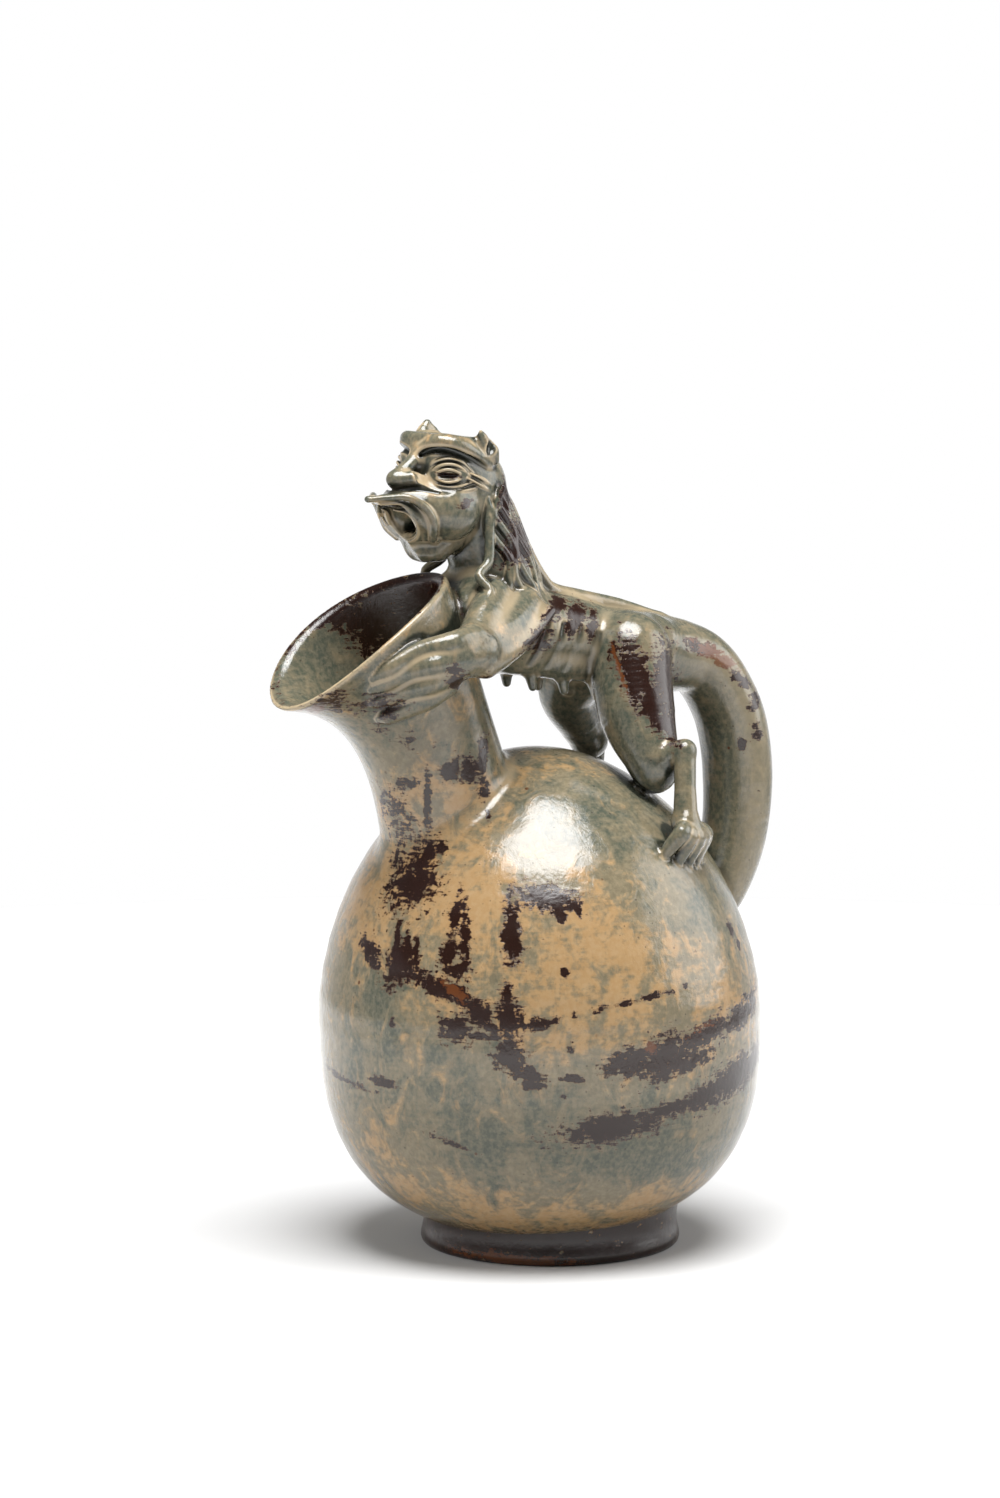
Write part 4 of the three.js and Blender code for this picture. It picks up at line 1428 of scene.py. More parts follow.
def make_object(name: str, piece: PieceMesh, shift: Array) -> bpy.types.Object:
    """A mesh object from a piece's quads.

    Args:
        name: the piece's name.
        piece: its quads, in millimetres.
        shift: the foot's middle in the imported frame.

    Returns:
        The object, smooth shaded.
    """
    vertices, quads, normals = piece.vertices * MM + shift, piece.quads, piece.normals
    mesh = bpy.data.meshes.new(name)
    mesh.vertices.add(len(vertices))
    mesh.vertices.foreach_set("co", vertices.astype(np.float32).ravel())
    mesh.loops.add(quads.size)
    mesh.loops.foreach_set("vertex_index", quads.astype(np.int32).ravel())
    mesh.polygons.add(len(quads))
    mesh.polygons.foreach_set("loop_start", np.arange(0, quads.size, 4, dtype=np.int32))
    mesh.update(calc_edges=True)
    mesh.validate()
    mesh.normals_split_custom_set_from_vertices(normals.astype(np.float32))
    keep(mesh, "recess", piece.recess)
    keep(mesh, "crest", piece.crest)
    obj = bpy.data.objects.new(name + GLAZED, mesh)
    bpy.context.scene.collection.objects.link(obj)
    return obj


def keep(mesh: bpy.types.Mesh, name: str, values: Array) -> None:
    """Keeps a value of each vertex as an attribute."""
    mesh.attributes.new(name, "FLOAT", "POINT").data.foreach_set("value", values.astype(np.float32))


class Stain(Enum):
    """What lies under the glaze or in it; each is a vertex attribute of its own name."""

    IRON = "iron"
    RUST = "rust"
    TEAL = "teal"
    OCHRE = "ochre"


BEAST_GROUND = {Stain.TEAL: 0.8}
RING_GROUND = {Stain.IRON: 0.82}


@dataclass(frozen=True)
class Daub:
    """A brushed mark on clay that faces one way: half sizes along and up, tilted in the facing plane."""

    stain: Stain
    place: Point
    half: tuple[float, float]
    tilt: float = 0.0
    facing: float = -120.0
    deep: float = 14.0
    power: float = 2.0
    strength: float = 1.0
    only: str = ""

    def level(self, p: Array, normals: Array) -> Array:
        """How strong the mark is: one in its middle, half at its edge, none at twice its size.

        Args:
            p: rows of points in millimetres.
            normals: their normals.

        Returns:
            A value from 0 to 1 for each point.
        """
        face, tilt = math.radians(self.facing), math.radians(self.tilt)
        out = np.array([math.cos(face), math.sin(face), 0.0])
        side = np.array([-out[1], out[0], 0.0])
        offset = p - np.array(self.place)
        across, up = offset @ side, offset[:, 2]
        along = across * math.cos(tilt) + up * math.sin(tilt)
        over = up * math.cos(tilt) - across * math.sin(tilt)
        spread = np.abs(along / self.half[0]) ** self.power + np.abs(over / self.half[1]) ** self.power
        spread = np.maximum(spread ** (1.0 / self.power), np.abs(offset @ out) * 2.0 / self.deep)
        seen = np.clip(normals @ out * FACING_STEEP + FACING_START, 0.0, 1.0)
        return self.strength * np.clip(1.0 - 0.5 * spread, 0.0, 1.0) * seen


def on_globe(stain: Stain, bearing: float, height: float, half: tuple[float, float], tilt: float = 0.0,
             power: float = 2.0, strength: float = 1.0) -> Daub:
    """A mark on the globe.

    Args:
        stain: what it is brushed with.
        bearing: degrees round the globe from +X.
        height: millimetres above the floor.
        half: its half sizes along and up.
        tilt: degrees that it is tilted.
        power: 2 for an oval mark, more for a squarer one.
        strength: how strong it is in its middle.

    Returns:
        The mark, facing out from the globe.
    """
    globe = Globe()
    rise = height - globe.centre[2]
    tall, exponent = (globe.upper, globe.upper_power) if rise > 0 else (globe.lower, globe.lower_power)
    around = globe.radius * max(1.0 - (abs(rise) / tall) ** exponent, 0.0) ** (1.0 / exponent)
    turn = math.radians(bearing)
    place = (globe.centre[0] + around * math.cos(turn), around * math.sin(turn), height)
    return Daub(stain, place, half, tilt, bearing, GLOBE_DEEP, power, strength)


def globe_strokes() -> list[Daub]:
    """Iron and rust brushed on the globe.

    Returns:
        The marks.
    """
    iron, rust = Stain.IRON, Stain.RUST
    return [
        on_globe(iron, -171.0, 100.0, (7.5, 2.6), -28.0),
        on_globe(iron, -160.0, 97.5, (6.5, 5.0), 60.0),
        on_globe(iron, -148.0, 92.8, (13.0, 2.6), -20.0),
        on_globe(iron, -139.0, 89.5, (9.5, 2.6), -34.0),
        on_globe(rust, -141.5, 91.4, (6.5, 1.7), -30.0),
        on_globe(iron, -134.5, 85.0, (3.4, 3.6), -50.0),
        on_globe(iron, -162.0, 104.0, (1.3, 7.0), 12.0),
        on_globe(iron, -158.0, 103.0, (1.1, 7.0), 14.0),
        on_globe(iron, -154.5, 102.0, (1.0, 6.0), 12.0),
        on_globe(iron, -145.0, 103.5, (2.6, 5.5), -10.0),
        on_globe(iron, -144.5, 114.5, (1.8, 6.0), 0.0),
        on_globe(iron, -140.5, 106.0, (1.6, 10.0), 8.0),
        on_globe(iron, -142.0, 98.0, (4.6, 1.8), 4.0),
        on_globe(iron, -141.5, 80.0, (4.6, 4.0), 0.0, 4.0),
        on_globe(iron, -134.0, 78.5, (5.0, 1.1), 0.0),
        on_globe(iron, -128.0, 91.0, (1.7, 4.0), 0.0),
        on_globe(iron, -127.5, 83.5, (4.2, 5.5), 20.0),
        on_globe(iron, -120.5, 82.5, (5.5, 1.7), 10.0),
        on_globe(iron, -132.0, 81.5, (3.4, 1.6), -30.0),
        on_globe(iron, -127.5, 73.0, (4.4, 4.6), 35.0),
        on_globe(iron, -123.0, 67.0, (5.6, 2.2), -20.0),
        on_globe(iron, -121.5, 63.5, (3.2, 1.1), 0.0),
        on_globe(iron, -112.0, 75.0, (1.2, 2.4), 0.0),
        on_globe(iron, -114.0, 60.0, (1.2, 0.9), 0.0),
        on_globe(iron, -127.5, 109.5, (2.6, 8.5), 6.0, 3.0),
        on_globe(iron, -117.0, 119.5, (9.0, 3.4), -10.0, 3.0),
        on_globe(iron, -113.5, 115.0, (1.2, 2.6), 0.0),
        on_globe(iron, -108.5, 116.0, (1.2, 2.2), 0.0),
        on_globe(iron, -113.0, 98.0, (1.5, 1.5), 0.0, 2.0, 1.1),
        on_globe(iron, -111.0, 85.0, (1.3, 1.0), 0.0),
        on_globe(iron, -104.5, 86.6, (3.4, 0.85), 9.0),
        on_globe(iron, -97.5, 88.0, (4.4, 0.95), 9.0),
        on_globe(iron, -90.0, 89.6, (4.4, 0.9), 9.0),
        on_globe(iron, -83.5, 90.6, (1.6, 0.7), 9.0),
        on_globe(iron, -79.0, 91.6, (1.0, 0.8), 9.0),
        on_globe(iron, -96.0, 70.0, (8.5, 4.2), 4.0),
        on_globe(iron, -87.0, 71.0, (12.0, 5.6), 9.0),
        on_globe(rust, -91.0, 74.0, (2.6, 2.6), 9.0, 2.0, 0.9),
        on_globe(rust, -74.0, 78.0, (12.0, 1.6), 12.0, 2.0, 0.75),
        on_globe(iron, -73.0, 76.0, (15.0, 3.4), 13.0),
        on_globe(iron, -55.0, 79.5, (16.0, 3.6), 13.0),
        on_globe(iron, -80.0, 67.0, (13.0, 2.2), 15.0),
        on_globe(iron, -111.0, 65.5, (3.4, 1.2), 0.0),
        on_globe(iron, -101.0, 49.5, (15.0, 4.4), 8.0),
        on_globe(iron, -86.0, 53.5, (8.0, 2.0), 10.0),
        on_globe(iron, -73.0, 56.5, (15.0, 3.2), 14.0),
        on_globe(iron, -60.0, 59.5, (16.0, 5.4), 13.0),
        on_globe(iron, -48.0, 62.5, (12.0, 3.6), 13.0),
        on_globe(iron, -52.0, 105.5, (2.0, 2.6), 20.0),
        on_globe(iron, -49.5, 100.0, (1.2, 2.4), 0.0),
        on_globe(iron, 178.0, 59.0, (16.0, 0.9), -6.0),
        on_globe(iron, -163.0, 61.0, (5.6, 1.3), -4.0),
        on_globe(iron, -145.0, 44.5, (6.5, 0.9), -16.0),
        on_globe(iron, -160.0, 80.0, (1.4, 1.4), 0.0),
    ]


def globe_clouds() -> list[Daub]:
    """Clouds of ochre and teal in the globe's glaze.

    Returns:
        The marks.
    """
    teal, ochre = Stain.TEAL, Stain.OCHRE
    return [
        on_globe(ochre, -100.0, 98.0, (48.0, 17.0), 0.0),
        on_globe(ochre, -138.0, 116.0, (22.0, 16.0), 0.0),
        on_globe(ochre, -65.0, 88.0, (20.0, 12.0), 8.0),
        on_globe(ochre, -110.0, 20.0, (60.0, 9.0), 0.0),
        on_globe(ochre, -178.0, 112.0, (26.0, 14.0), 0.0, 2.0, 0.7),
        on_globe(teal, -95.0, 40.0, (70.0, 15.0), 0.0, 2.0, 0.8),
        on_globe(teal, -160.0, 75.0, (26.0, 20.0), 0.0, 2.0, 0.8),
        on_globe(teal, -62.0, 118.0, (22.0, 17.0), 0.0, 2.0, 0.9),
        on_globe(teal, -85.0, 140.0, (26.0, 9.0), 0.0, 2.0, 0.9),
    ]


def neck_marks() -> list[Daub]:
    """Marks and clouds on the neck and in the mouth, with painted shade deep in the bore.

    Returns:
        The marks.
    """
    iron, rust, teal, ochre = Stain.IRON, Stain.RUST, Stain.TEAL, Stain.OCHRE
    return [
        Daub(iron, (-61.3, -17.0, 125.0), (8.6, 9.0), 14.0, -135.0, power=4.0),
        Daub(iron, (-65.0, -10.0, 137.0), (5.6, 11.0), 14.0, -150.0, power=3.0),
        Daub(iron, (-55.6, -20.0, 148.0), (1.1, 9.0), 0.0),
        Daub(iron, (-56.0, -21.0, 140.0), (1.3, 3.0), 0.0),
        Daub(iron, (-52.0, -22.0, 133.0), (2.0, 1.8), 0.0),
        Daub(iron, (-61.0, -17.0, 152.5), (4.0, 1.8), 0.0, strength=0.9),
        Daub(iron, (-48.0, -22.0, 157.5), (2.8, 4.2), -30.0),
        Daub(iron, (-42.0, -22.0, 157.5), (3.2, 3.4), 30.0),
        Daub(iron, (-36.4, -21.0, 160.5), (1.5, 6.6), 0.0),
        Daub(iron, (-36.6, -22.0, 150.0), (1.6, 3.2), 0.0),
        Daub(iron, (-35.0, -22.0, 142.5), (0.8, 2.6), 0.0),
        Daub(ochre, (-50.0, -20.0, 146.0), (12.0, 18.0), 0.0, strength=0.9),
        Daub(teal, (-53.0, -22.0, 169.0), (22.0, 9.0), 0.0, deep=30.0, strength=0.8),
        Daub(teal, (-42.0, -20.0, 134.0), (10.0, 16.0), 0.0, strength=0.7),
        Daub(iron, (-80.0, -24.0, 175.0), (10.0, 4.6), 20.0, strength=0.95),
        Daub(iron, (-70.0, -24.0, 167.5), (9.0, 2.6), -10.0, strength=0.85),
        Daub(iron, (-93.0, -22.0, 178.0), (8.0, 2.8), 35.0, deep=24.0),
        Daub(rust, (-97.0, -14.0, 174.0), (10.0, 2.4), 30.0, deep=30.0),
        # Painted shade: dark iron on the bore's back wall under the head stands for the shadow deep in the
        # mouth, partly dark glaze.
        Daub(iron, (-48.0, 4.0, 202.0), (22.0, 20.0), 0.0, 165.0, 60.0, strength=1.1, only="neck"),
        Daub(teal, (-78.0, 15.0, 196.0), (24.0, 26.0), 20.0, deep=90.0, strength=0.9),
    ]


def beast_marks() -> list[Daub]:
    """Marks and clouds on the beast.

    Returns:
        The marks.
    """
    iron, rust, teal, ochre = Stain.IRON, Stain.RUST, Stain.TEAL, Stain.OCHRE
    return [
        Daub(iron, (-52.2, -33.0, 187.2), (2.8, 3.4), 0.0),
        Daub(iron, (-42.0, -33.0, 185.0), (2.6, 2.0), 20.0),
        Daub(iron, (-12.0, -20.0, 203.0), (2.2, 5.0), -35.0),
        Daub(iron, (-22.0, -24.0, 196.0), (9.0, 1.2), 38.0),
        Daub(iron, (-15.0, -20.0, 196.0), (4.6, 3.6), 10.0),
        Daub(iron, (16.0, -25.0, 185.0), (4.4, 10.5), 22.0, power=3.0, deep=26.0),
        Daub(iron, (22.0, -27.0, 174.5), (3.6, 8.5), 30.0, power=3.0, deep=26.0),
        Daub(iron, (28.4, -23.5, 181.0), (3.4, 11.5), 6.0, power=3.0, deep=26.0),
        Daub(iron, (27.8, -28.0, 167.5), (2.0, 5.5), 14.0, deep=26.0),
        Daub(rust, (11.4, -24.0, 185.5), (0.9, 8.5), 18.0, deep=24.0, strength=0.9),
        Daub(rust, (56.0, -8.0, 188.3), (10.0, 2.4), -29.0, deep=22.0),
        Daub(iron, (50.0, -8.5, 191.0), (6.0, 2.0), -20.0, deep=22.0),
        Daub(iron, (66.0, -8.0, 180.0), (4.4, 1.4), -44.0, deep=22.0),
        Daub(iron, (71.5, -8.0, 172.4), (1.8, 3.0), 0.0, deep=22.0),
        Daub(iron, (72.4, -8.0, 162.5), (2.0, 2.8), 0.0, deep=22.0, strength=0.85),
        Daub(iron, (66.5, -9.0, 158.5), (1.2, 2.0), 0.0, deep=22.0),
        Daub(iron, (-17.0, -9.0, 226.0), (4.4, 6.5), -20.0, deep=24.0, power=3.0),
        Daub(iron, (-22.5, -11.0, 240.0), (2.4, 7.0), -8.0, deep=24.0),
        Daub(iron, (1.0, -14.0, 202.5), (2.4, 5.4), -14.0),
        Daub(iron, (-5.0, -14.0, 207.0), (2.2, 5.0), -20.0),
        Daub(iron, (7.0, -14.0, 199.5), (1.4, 4.0), -8.0),
        Daub(iron, (-38.0, -13.0, 239.5), (2.4, 1.2), 20.0),
        Daub(iron, (-44.7, -14.4, 248.0), (3.0, 0.7), -10.0, deep=10.0),
        Daub(teal, (4.0, -18.0, 193.0), (14.0, 9.0), 0.0, deep=24.0, strength=1.5),
        Daub(teal, (14.0, -22.0, 172.0), (9.0, 12.0), 0.0, deep=26.0),
        Daub(teal, (-30.0, -16.0, 232.0), (7.0, 16.0), 0.0, deep=24.0),
        Daub(ochre, (-41.0, -10.0, 259.0), (13.0, 4.0), 0.0, deep=34.0),
        Daub(ochre, (-53.0, -12.0, 243.0), (8.0, 4.0), 0.0, deep=30.0, strength=0.8),
        Daub(teal, (-25.0, -20.0, 203.0), (12.0, 8.0), 0.0, strength=0.8),
        Daub(ochre, (-36.0, -26.0, 197.0), (12.0, 7.0), 20.0, strength=0.8),
        Daub(ochre, (-16.0, -12.0, 213.0), (7.0, 8.0), 0.0, strength=0.9),
    ]


def foot_marks() -> list[Daub]:
    """Bare clay at the bottom of the foot ring.

    Returns:
        The marks.
    """
    return [Daub(Stain.RUST, (-30.0, -30.0, 1.6), (24.0, 2.4), -3.0, facing=-132.0, deep=60.0)]


@dataclass
class Painter:
    """Brushes the marks on to finished pieces."""

    shift: Array
    daubs: list[Daub]

    def paint(self, obj: bpy.types.Object, ground: dict[Stain, float]) -> None:
        """Sets a piece's stains.

        Args:
            obj: the piece.
            ground: how strong each stain is all over it.
        """
        mesh = obj.data
        count = len(mesh.vertices)
        flat = np.empty(count * 3, np.float32)
        mesh.vertices.foreach_get("co", flat)
        p = (flat.reshape(-1, 3) - self.shift) / MM
        mesh.vertices.foreach_get("normal", flat)
        normals = flat.reshape(-1, 3).astype(float)
        low, high = p.min(0), p.max(0)
        made = {stain: np.full(count, ground.get(stain, 0.0)) for stain in Stain}
        for daub in self.daubs:
            place = np.array(daub.place)
            reach = 2.0 * max(daub.half) + 0.5 * daub.deep
            here = daub.only in ("", obj.name.removesuffix(GLAZED))
            if here and (place > low - reach).all() and (place < high + reach).all():
                np.maximum(made[daub.stain], daub.level(p, normals), out=made[daub.stain])
        for stain, values in made.items():
            keep(mesh, stain.value, values)


@dataclass
class Tree:
    """A material's or the surround's shader tree, with short ways to add to it."""

    owner: bpy.types.Material | bpy.types.World

    def __post_init__(self) -> None:
        """Empties the tree and adds its output and its coordinates."""
        self.owner.use_nodes = True
        self.nodes = self.owner.node_tree.nodes
        self.links = self.owner.node_tree.links
        self.nodes.clear()
        kind = "World" if isinstance(self.owner, bpy.types.World) else "Material"
        self.out = self.nodes.new(f"ShaderNodeOutput{kind}")
        self.coordinates = self.nodes.new("ShaderNodeTexCoord")
        self.place = self.coordinates.outputs["Object"]

    def join(self, value: Value, socket: Socket) -> None:
        """Links a socket, or sets a plain value on it.

        Args:
            value: another socket, or a plain value.
            socket: the socket that gets it.
        """
        if isinstance(value, bpy.types.NodeSocket):
            self.links.new(value, socket)
        else:
            socket.default_value = value

    def attribute(self, name: str) -> Socket:
        """A vertex attribute's value.

        Args:
            name: the attribute's name.

        Returns:
            Its value.
        """
        node = self.nodes.new("ShaderNodeAttribute")
        node.attribute_name = name
        return node.outputs["Fac"]

    def reckon(self, operation: str, *values: Value) -> Socket:
        """Works out one piece of arithmetic.

        Args:
            operation: the Math node's operation.
            values: what it works on.

        Returns:
            The result.
        """
        node = self.nodes.new("ShaderNodeMath")
        node.operation = operation
        for value, socket in zip(values, node.inputs):
            self.join(value, socket)
        return node.outputs[0]

    def times(self, a: Value, b: Value) -> Socket:
        """The product of two values."""
        return self.reckon("MULTIPLY", a, b)

    def sum(self, *terms: tuple[Value, Value]) -> Socket:
        """Adds values up.

        Args:
            terms: pairs of a value and its weight.

        Returns:
            The weighted sum.
        """
        total: Value = 0.0
        for value, weight in terms:
            total = self.reckon("MULTIPLY_ADD", value, weight, total)
        return total

    def step(self, value: Value, low: float, high: float) -> Socket:
        """Rises smoothly from 0 to 1.

        Args:
            value: what is looked at.
            low: the level where the step is 0.
            high: the level where it is 1.

        Returns:
            The step's value.
        """
        node = self.nodes.new("ShaderNodeMapRange")
        node.interpolation_type = "SMOOTHSTEP"
        self.join(value, node.inputs["Value"])
        node.inputs["From Min"].default_value = low
        node.inputs["From Max"].default_value = high
        return node.outputs["Result"]

    def along(self, axis: Point) -> Socket:
        """How far the direction of a ray into the surround points along an axis.

        Args:
            axis: a direction of length one.

        Returns:
            From -1 to 1.
        """
        node = self.nodes.new("ShaderNodeVectorMath")
        node.operation = "DOT_PRODUCT"
        self.links.new(self.coordinates.outputs["Generated"], node.inputs[0])
        node.inputs[1].default_value = axis
        return node.outputs["Value"]

    def noise(self, size: float, detail: float = 5.0, tall: float = 1.0, bend: float = 0.0,
              rough: float = 0.58) -> Socket:
        """Cloudy noise.

        Args:
            size: millimetres from one cloud to the next.
            detail: octaves.
            tall: how much longer the clouds are upright than across.
            bend: distortion.
            rough: how strong the finer octaves are.

        Returns:
            The noise's value, about one half.
        """
        stretch = self.nodes.new("ShaderNodeMapping")
        stretch.inputs["Scale"].default_value = (1.0, 1.0, 1.0 / tall)
        self.links.new(self.place, stretch.inputs["Vector"])
        node = self.nodes.new("ShaderNodeTexNoise")
        self.links.new(stretch.outputs[0], node.inputs["Vector"])
        node.inputs["Scale"].default_value = 1.0 / (size * MM)
        node.inputs["Detail"].default_value = detail
        node.inputs["Roughness"].default_value = rough
        node.inputs["Distortion"].default_value = bend
        return node.outputs["Fac"]

    def dots(self, pitch: float, size: float, share: float) -> Socket:
        """Round spots of many sizes, in some cells of a scattered pattern.

        Args:
            pitch: millimetres from one cell to the next.
            size: a spot's largest radius as a share of the pitch.
            share: the share of the cells that have one.

        Returns:
            One in a spot, nought outside it.
        """
        node = self.nodes.new("ShaderNodeTexVoronoi")
        self.links.new(self.place, node.inputs["Vector"])
        node.inputs["Scale"].default_value = 1.0 / (pitch * MM)
        parts = self.nodes.new("ShaderNodeSeparateColor")
        self.links.new(node.outputs["Color"], parts.inputs[0])
        radius = self.step(parts.outputs[0], 1.0 - share, 1.0)
        inside = self.sum((radius, size), (node.outputs["Distance"], -1.0))
        return self.step(inside, 0.0, SPOT_EDGE)

    def mix(self, share: Value, first: Value, second: Value) -> Socket:
        """Mixes two colours.

        Args:
            share: how much of the second there is.
            first: a colour.
            second: another.

        Returns:
            The colour between them.
        """
        node = self.nodes.new("ShaderNodeMix")
        node.data_type = "RGBA"
        self.join(share, node.inputs["Factor"])
        for value, socket in ((first, node.inputs["A"]), (second, node.inputs["B"])):
            self.join((*value, 1.0) if isinstance(value, tuple) else value, socket)
        return node.outputs["Result"]


@dataclass
class Clouds:
    """The glaze's noises, each about one half, and what was kept at each vertex."""

    tree: Tree

    def __post_init__(self) -> None:
        """Adds the noises, from the widest to the finest, and reads the attributes."""
        noise, attribute = self.tree.noise, self.tree.attribute
        self.broad = noise(38.0, 6.0, 0.8, 0.6)
        self.drift = noise(24.0, 5.0, 1.7, 0.8)
        self.mid = noise(11.0, 7.0, 1.0, 0.5, 0.64)
        self.bands = noise(9.0, 4.0, 0.14, 0.2)
        self.swirl = noise(8.0, 6.0, 1.5, 1.4, 0.6)
        self.strokes = noise(5.0, 5.0, 0.22, 0.1, 0.66)
        self.edge = noise(4.6, 7.0, 1.6, 0.2, 0.72)
        self.fine = noise(2.0, 5.0, 1.0, 0.0, 0.66)
        self.spatter = noise(1.5, 4.0, 1.3, 0.0, 0.6)
        self.recess, self.crest = attribute("recess"), attribute("crest")
        self.iron, self.rust = attribute(Stain.IRON.value), attribute(Stain.RUST.value)
        self.teal, self.ochre = attribute(Stain.TEAL.value), attribute(Stain.OCHRE.value)
        self.grains = self.tree.dots(2.0, 0.2, 0.35)


@dataclass(frozen=True)
class GlazeFinish:
    """Celadon that pools blue in the hollows, with painted shade darkening them further, thins to ochre on
    the ridges and breaks over brushed iron.
    """

    celadon: Point = (0.124, 0.105, 0.066)
    ochre: Point = (0.270, 0.168, 0.076)
    buff: Point = (0.36, 0.285, 0.18)
    teal: Point = (0.043, 0.053, 0.040)
    # Near black for the hollows: partly pooled glaze, partly painted shade.
    depth: Point = (0.012, 0.014, 0.010)
    iron: Point = (0.0125, 0.0036, 0.0016)
    purple: Point = (0.017, 0.0078, 0.0064)
    burnt: Point = (0.060, 0.016, 0.004)
    rust: Point = (0.092, 0.028, 0.007)
    roughness: float = 0.12
    iron_roughness: float = 0.2
    refraction: float = 1.5
    bump_strength: float = 0.5
    bump_depth: float = 0.0009

    def body(self, tree: Tree, clouds: Clouds) -> Socket:
        """The glaze itself: ochre to teal, pale on ridges, dark in hollows from pooled glaze and painted
        shade, with grains and specks.

        Args:
            tree: the material's tree.
            clouds: its noises and attributes.

        Returns:
            The colour.
        """
        warm = tree.sum((clouds.broad, 1.0), (clouds.mid, 1.3), (clouds.fine, 0.7), (clouds.bands, 0.6),
                        (clouds.ochre, 0.34), (clouds.crest, 0.8), (clouds.teal, -0.34),
                        (clouds.recess, -0.2), (clouds.swirl, 1.3), (1.0, -0.65))
        cool = tree.sum((clouds.drift, 1.2), (clouds.mid, 1.0), (clouds.fine, 0.6), (clouds.bands, 0.5),
                        (clouds.teal, 0.42), (clouds.recess, 0.4), (clouds.ochre, -0.34),
                        (clouds.crest, -1.0), (clouds.swirl, -1.3), (1.0, 0.65))
        pale = tree.step(tree.sum((clouds.fine, 0.6), (clouds.spatter, 0.5)), 0.42, 0.72)
        specks = tree.times(tree.dots(5.0, 0.17, 0.3), tree.step(clouds.mid, 0.46, 0.58))
        base = tree.mix(tree.step(warm, 1.74, 2.12), self.celadon, self.ochre)
        base = tree.mix(tree.times(tree.step(cool, 1.62, 2.05), 0.92), base, self.teal)
        base = tree.mix(tree.times(tree.step(clouds.crest, 0.03, 0.24), 0.78), base, self.buff)
        base = tree.mix(tree.times(pale, 0.25), base, self.buff)
        # Painted shade: hollows darken towards near black, partly as pooled glaze, partly standing in for the
        # shade that falls in them.
        base = tree.mix(tree.times(tree.step(clouds.recess, 0.15, 1.05), 0.9), base, self.depth)
        base = tree.mix(tree.times(clouds.grains, 0.5), base, self.purple)
        return tree.mix(tree.times(specks, 0.85), base, self.burnt)

    def brushed(self, tree: Tree, clouds: Clouds, base: Socket) -> tuple[Socket, Socket]:
        """Iron and rust brushed into the glaze, with ragged, spattered edges.

        Args:
            tree: the material's tree.
            clouds: its noises and attributes.
            base: the glaze's colour.

        Returns:
            The colour, and where the iron is thick.
        """
        edged = tree.sum((clouds.edge, 1.2), (clouds.fine, 1.2), (clouds.strokes, 1.5), (clouds.spatter, 0.9),
                         (1.0, -2.4))
        laid = tree.sum((clouds.iron, 1.0), (edged, 0.85))
        thick = tree.step(laid, 0.47, 0.55)
        veiled = tree.step(tree.sum((clouds.broad, 0.7), (clouds.mid, 0.3)), 0.52, 0.66)
        glow = tree.step(tree.sum((clouds.rust, 1.0), (edged, 0.7)), 0.46, 0.70)
        base = tree.mix(tree.times(tree.step(laid, 0.36, 0.52), 0.72), base, self.burnt)
        base = tree.mix(thick, base, tree.mix(veiled, self.iron, self.purple))
        return tree.mix(tree.times(glow, 0.85), base, self.rust), thick

    def make(self) -> bpy.types.Material:
        """Builds the finish.

        Returns:
            The material.
        """
        material = bpy.data.materials.new("glaze")
        tree = Tree(material)
        clouds = Clouds(tree)
        colour, thick = self.brushed(tree, clouds, self.body(tree, clouds))
        shader = tree.nodes.new("ShaderNodeBsdfPrincipled")
        tree.links.new(colour, shader.inputs["Base Color"])
        dull = tree.sum((thick, self.iron_roughness - self.roughness), (clouds.fine, 0.08),
                        (1.0, self.roughness - 0.04))
        tree.links.new(dull, shader.inputs["Roughness"])
        shader.inputs["IOR"].default_value = self.refraction
        bump = tree.nodes.new("ShaderNodeBump")
        bump.inputs["Strength"].default_value = self.bump_strength
        bump.inputs["Distance"].default_value = self.bump_depth
        relief = tree.sum((clouds.mid, 0.5), (clouds.edge, 0.16), (clouds.grains, -0.05), (thick, -0.06),
                          (clouds.swirl, 0.4))
        tree.links.new(relief, bump.inputs["Height"])
        tree.links.new(bump.outputs[0], shader.inputs["Normal"])
        tree.links.new(shader.outputs[0], tree.out.inputs["Surface"])
        return material


@dataclass(frozen=True)
class Softbox:
    """An oval lamp: place, target and size in metres, its watts, and whether the glaze mirrors it."""

    name: str
    place: Point
    target: Point
    size: tuple[float, float]
    power: float
    mirrored: bool = True

    def hang(self) -> None:
        """Adds the lamp, turned to its target."""
        data = bpy.data.lights.new(self.name, "AREA")
        data.shape = "ELLIPSE"
        data.size, data.size_y = self.size
        data.energy = self.power
        obj = bpy.data.objects.new(self.name, data)
        bpy.context.scene.collection.objects.link(obj)
        obj.visible_glossy = self.mirrored
        obj.location = self.place
        obj.rotation_euler = (Vector(self.target) - Vector(self.place)).to_track_quat("-Z", "Y").to_euler()


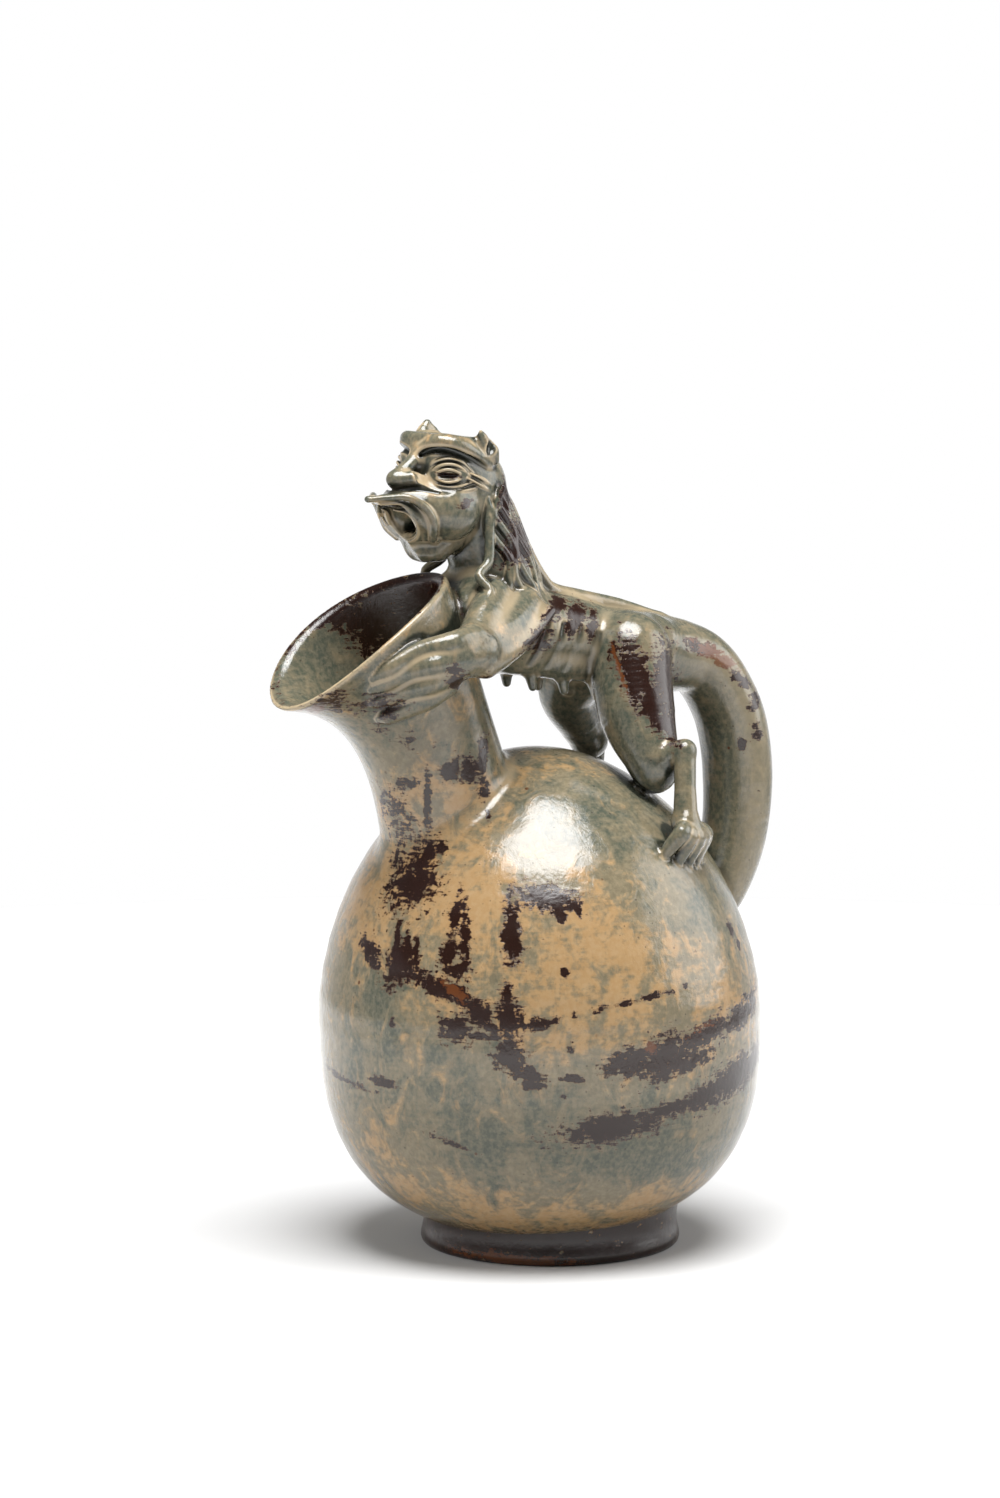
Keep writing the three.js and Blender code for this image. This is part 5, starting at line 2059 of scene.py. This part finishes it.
@dataclass
class Studio:
    """Camera, floor, surround and lamps."""

    focal_pixels: float = 4298.2
    image_height: float = 1498.0
    sensor: float = 36.0
    place: Point = (-683.41, -1183.7, 303.02)
    yaw: float = -29.322
    pitch: float = 6.004
    floor_radius: float = 0.8
    floor_near: float = 0.57
    floor_far: float = 0.96
    floor_fade: tuple[float, float] = (0.1, 0.42)
    ambient: float = 0.14
    behind: Point = (0.5, 0.866, 0.0)
    backdrop_sides: tuple[float, float] = (0.45, 0.85)
    backdrop_top: tuple[float, float] = (-0.3, -0.05)
    horizon: float = 0.5
    horizon_fade: tuple[float, float] = (-0.34, 0.0)
    lamps: tuple[Softbox, ...] = (
        Softbox("overhead", (-0.09, -0.28, 1.13), (0.0, 0.0, 0.12), (0.84, 0.84), 30.0),
        Softbox("right", (2.2, -0.9, 1.1), (0.0, 0.0, 0.12), (2.4, 2.0), 42.0),
        Softbox("left", (-1.7, 1.1, 0.6), (0.0, 0.0, 0.06), (1.6, 1.1), 32.0, mirrored=False),
    )

    def camera(self, shift: Array) -> None:
        """Sets the camera at the photograph's viewpoint.

        Args:
            shift: the foot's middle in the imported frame.
        """
        data = bpy.data.cameras.new("camera")
        data.sensor_fit = "AUTO"
        data.sensor_width = self.sensor
        data.lens = self.sensor * self.focal_pixels / self.image_height
        obj = bpy.data.objects.new("camera", data)
        bpy.context.scene.collection.objects.link(obj)
        yaw, pitch = math.radians(self.yaw), math.radians(self.pitch)
        back = Vector((math.sin(yaw) * math.cos(pitch), -math.cos(yaw) * math.cos(pitch), math.sin(pitch)))
        right = Vector((math.cos(yaw), math.sin(yaw), 0))
        turn = Matrix((right, back.cross(right), back)).transposed().to_4x4()
        obj.matrix_world = Matrix.Translation(Vector(np.array(self.place) * MM + shift)) @ turn
        bpy.context.scene.camera = obj

    def floor(self) -> None:
        """Adds the pale floor, a little darker near the jug."""
        bpy.ops.mesh.primitive_circle_add(vertices=128, radius=self.floor_radius, fill_type="NGON")
        obj = bpy.context.active_object
        obj.name = "floor"
        tree = Tree(bpy.data.materials.new("floor"))
        away = tree.nodes.new("ShaderNodeVectorMath")
        away.operation = "LENGTH"
        tree.links.new(tree.place, away.inputs[0])
        far = tree.step(away.outputs["Value"], *self.floor_fade)
        shader = tree.nodes.new("ShaderNodeBsdfDiffuse")
        tree.links.new(tree.mix(far, (self.floor_near,) * 3, (self.floor_far,) * 3), shader.inputs["Color"])
        tree.links.new(shader.outputs[0], tree.out.inputs["Surface"])
        obj.data.materials.append(tree.owner)

    def surround(self) -> None:
        """White to the camera; to the glaze a white backdrop behind the jug and a glow above the floor."""
        world = bpy.data.worlds.new("surround")
        bpy.context.scene.world = world
        tree = Tree(world)
        path = tree.nodes.new("ShaderNodeLightPath").outputs
        backdrop = tree.times(tree.step(tree.along(self.behind), *self.backdrop_sides),
                              tree.step(tree.along(DOWN), *self.backdrop_top))
        glow = tree.times(tree.step(tree.along(DOWN), *self.horizon_fade), self.horizon)
        seen = tree.reckon("MAXIMUM", path["Is Camera Ray"], path["Is Transmission Ray"])
        shown = tree.sum((path["Is Glossy Ray"], tree.reckon("MAXIMUM", backdrop, glow)), (seen, 1.0))
        light = tree.nodes.new("ShaderNodeBackground")
        light.inputs["Color"].default_value = (1.0, 1.0, 1.0, 1.0)
        tree.links.new(tree.sum((shown, 1.0 - self.ambient), (1.0, self.ambient)), light.inputs["Strength"])
        tree.links.new(light.outputs[0], tree.out.inputs["Surface"])

    def build(self, shift: Array) -> None:
        """Sets up the whole studio.

        Args:
            shift: the foot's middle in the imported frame.
        """
        self.camera(shift)
        self.floor()
        self.surround()
        for lamp in self.lamps:
            lamp.hang()
        bpy.context.scene.view_settings.view_transform = "Standard"


def settle(obj: bpy.types.Object, name: str, material: bpy.types.Material, slot: Slot) -> None:
    """Gives a piece its finish and puts it in the place of its node.

    Args:
        obj: the piece.
        name: its node's name.
        material: the finish.
        slot: its material slot; not used.
    """
    obj.data.materials.append(material)
    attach(obj, "root")
    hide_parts(name)


def main() -> None:
    """Builds every piece, then the studio."""
    logging.basicConfig(level=logging.INFO, format="%(message)s")
    shift = foot_middle()
    clay = model_clay()
    mesher = Mesher(clay, 1.0)
    material = GlazeFinish().make()
    painter = Painter(shift, globe_strokes() + globe_clouds() + neck_marks() + beast_marks() + foot_marks())
    slots = {n: Slot.CELADON for n in clay.pieces}
    slots["belly"] = Slot.OCHRE
    for zone in zones():
        start = time.time()
        for name, piece in mesher.zone(zone).items():
            obj = make_object(name, piece, shift)
            painter.paint(obj, {} if name in ("belly", "neck") else BEAST_GROUND)
            settle(obj, name, material, slots[name])
            LOG.info("%s: %d quads", name, len(piece.quads))
        LOG.info("zone %s: %.1f s", zone.members[0], time.time() - start)
    ring = FootRing().make(shift)
    keep(ring.data, "recess", np.zeros(len(ring.data.vertices)))
    keep(ring.data, "crest", np.zeros(len(ring.data.vertices)))
    painter.paint(ring, RING_GROUND)
    settle(ring, "foot_ring", material, Slot.IRON)
    Studio().build(shift)


if __name__ == "__main__":
    main()
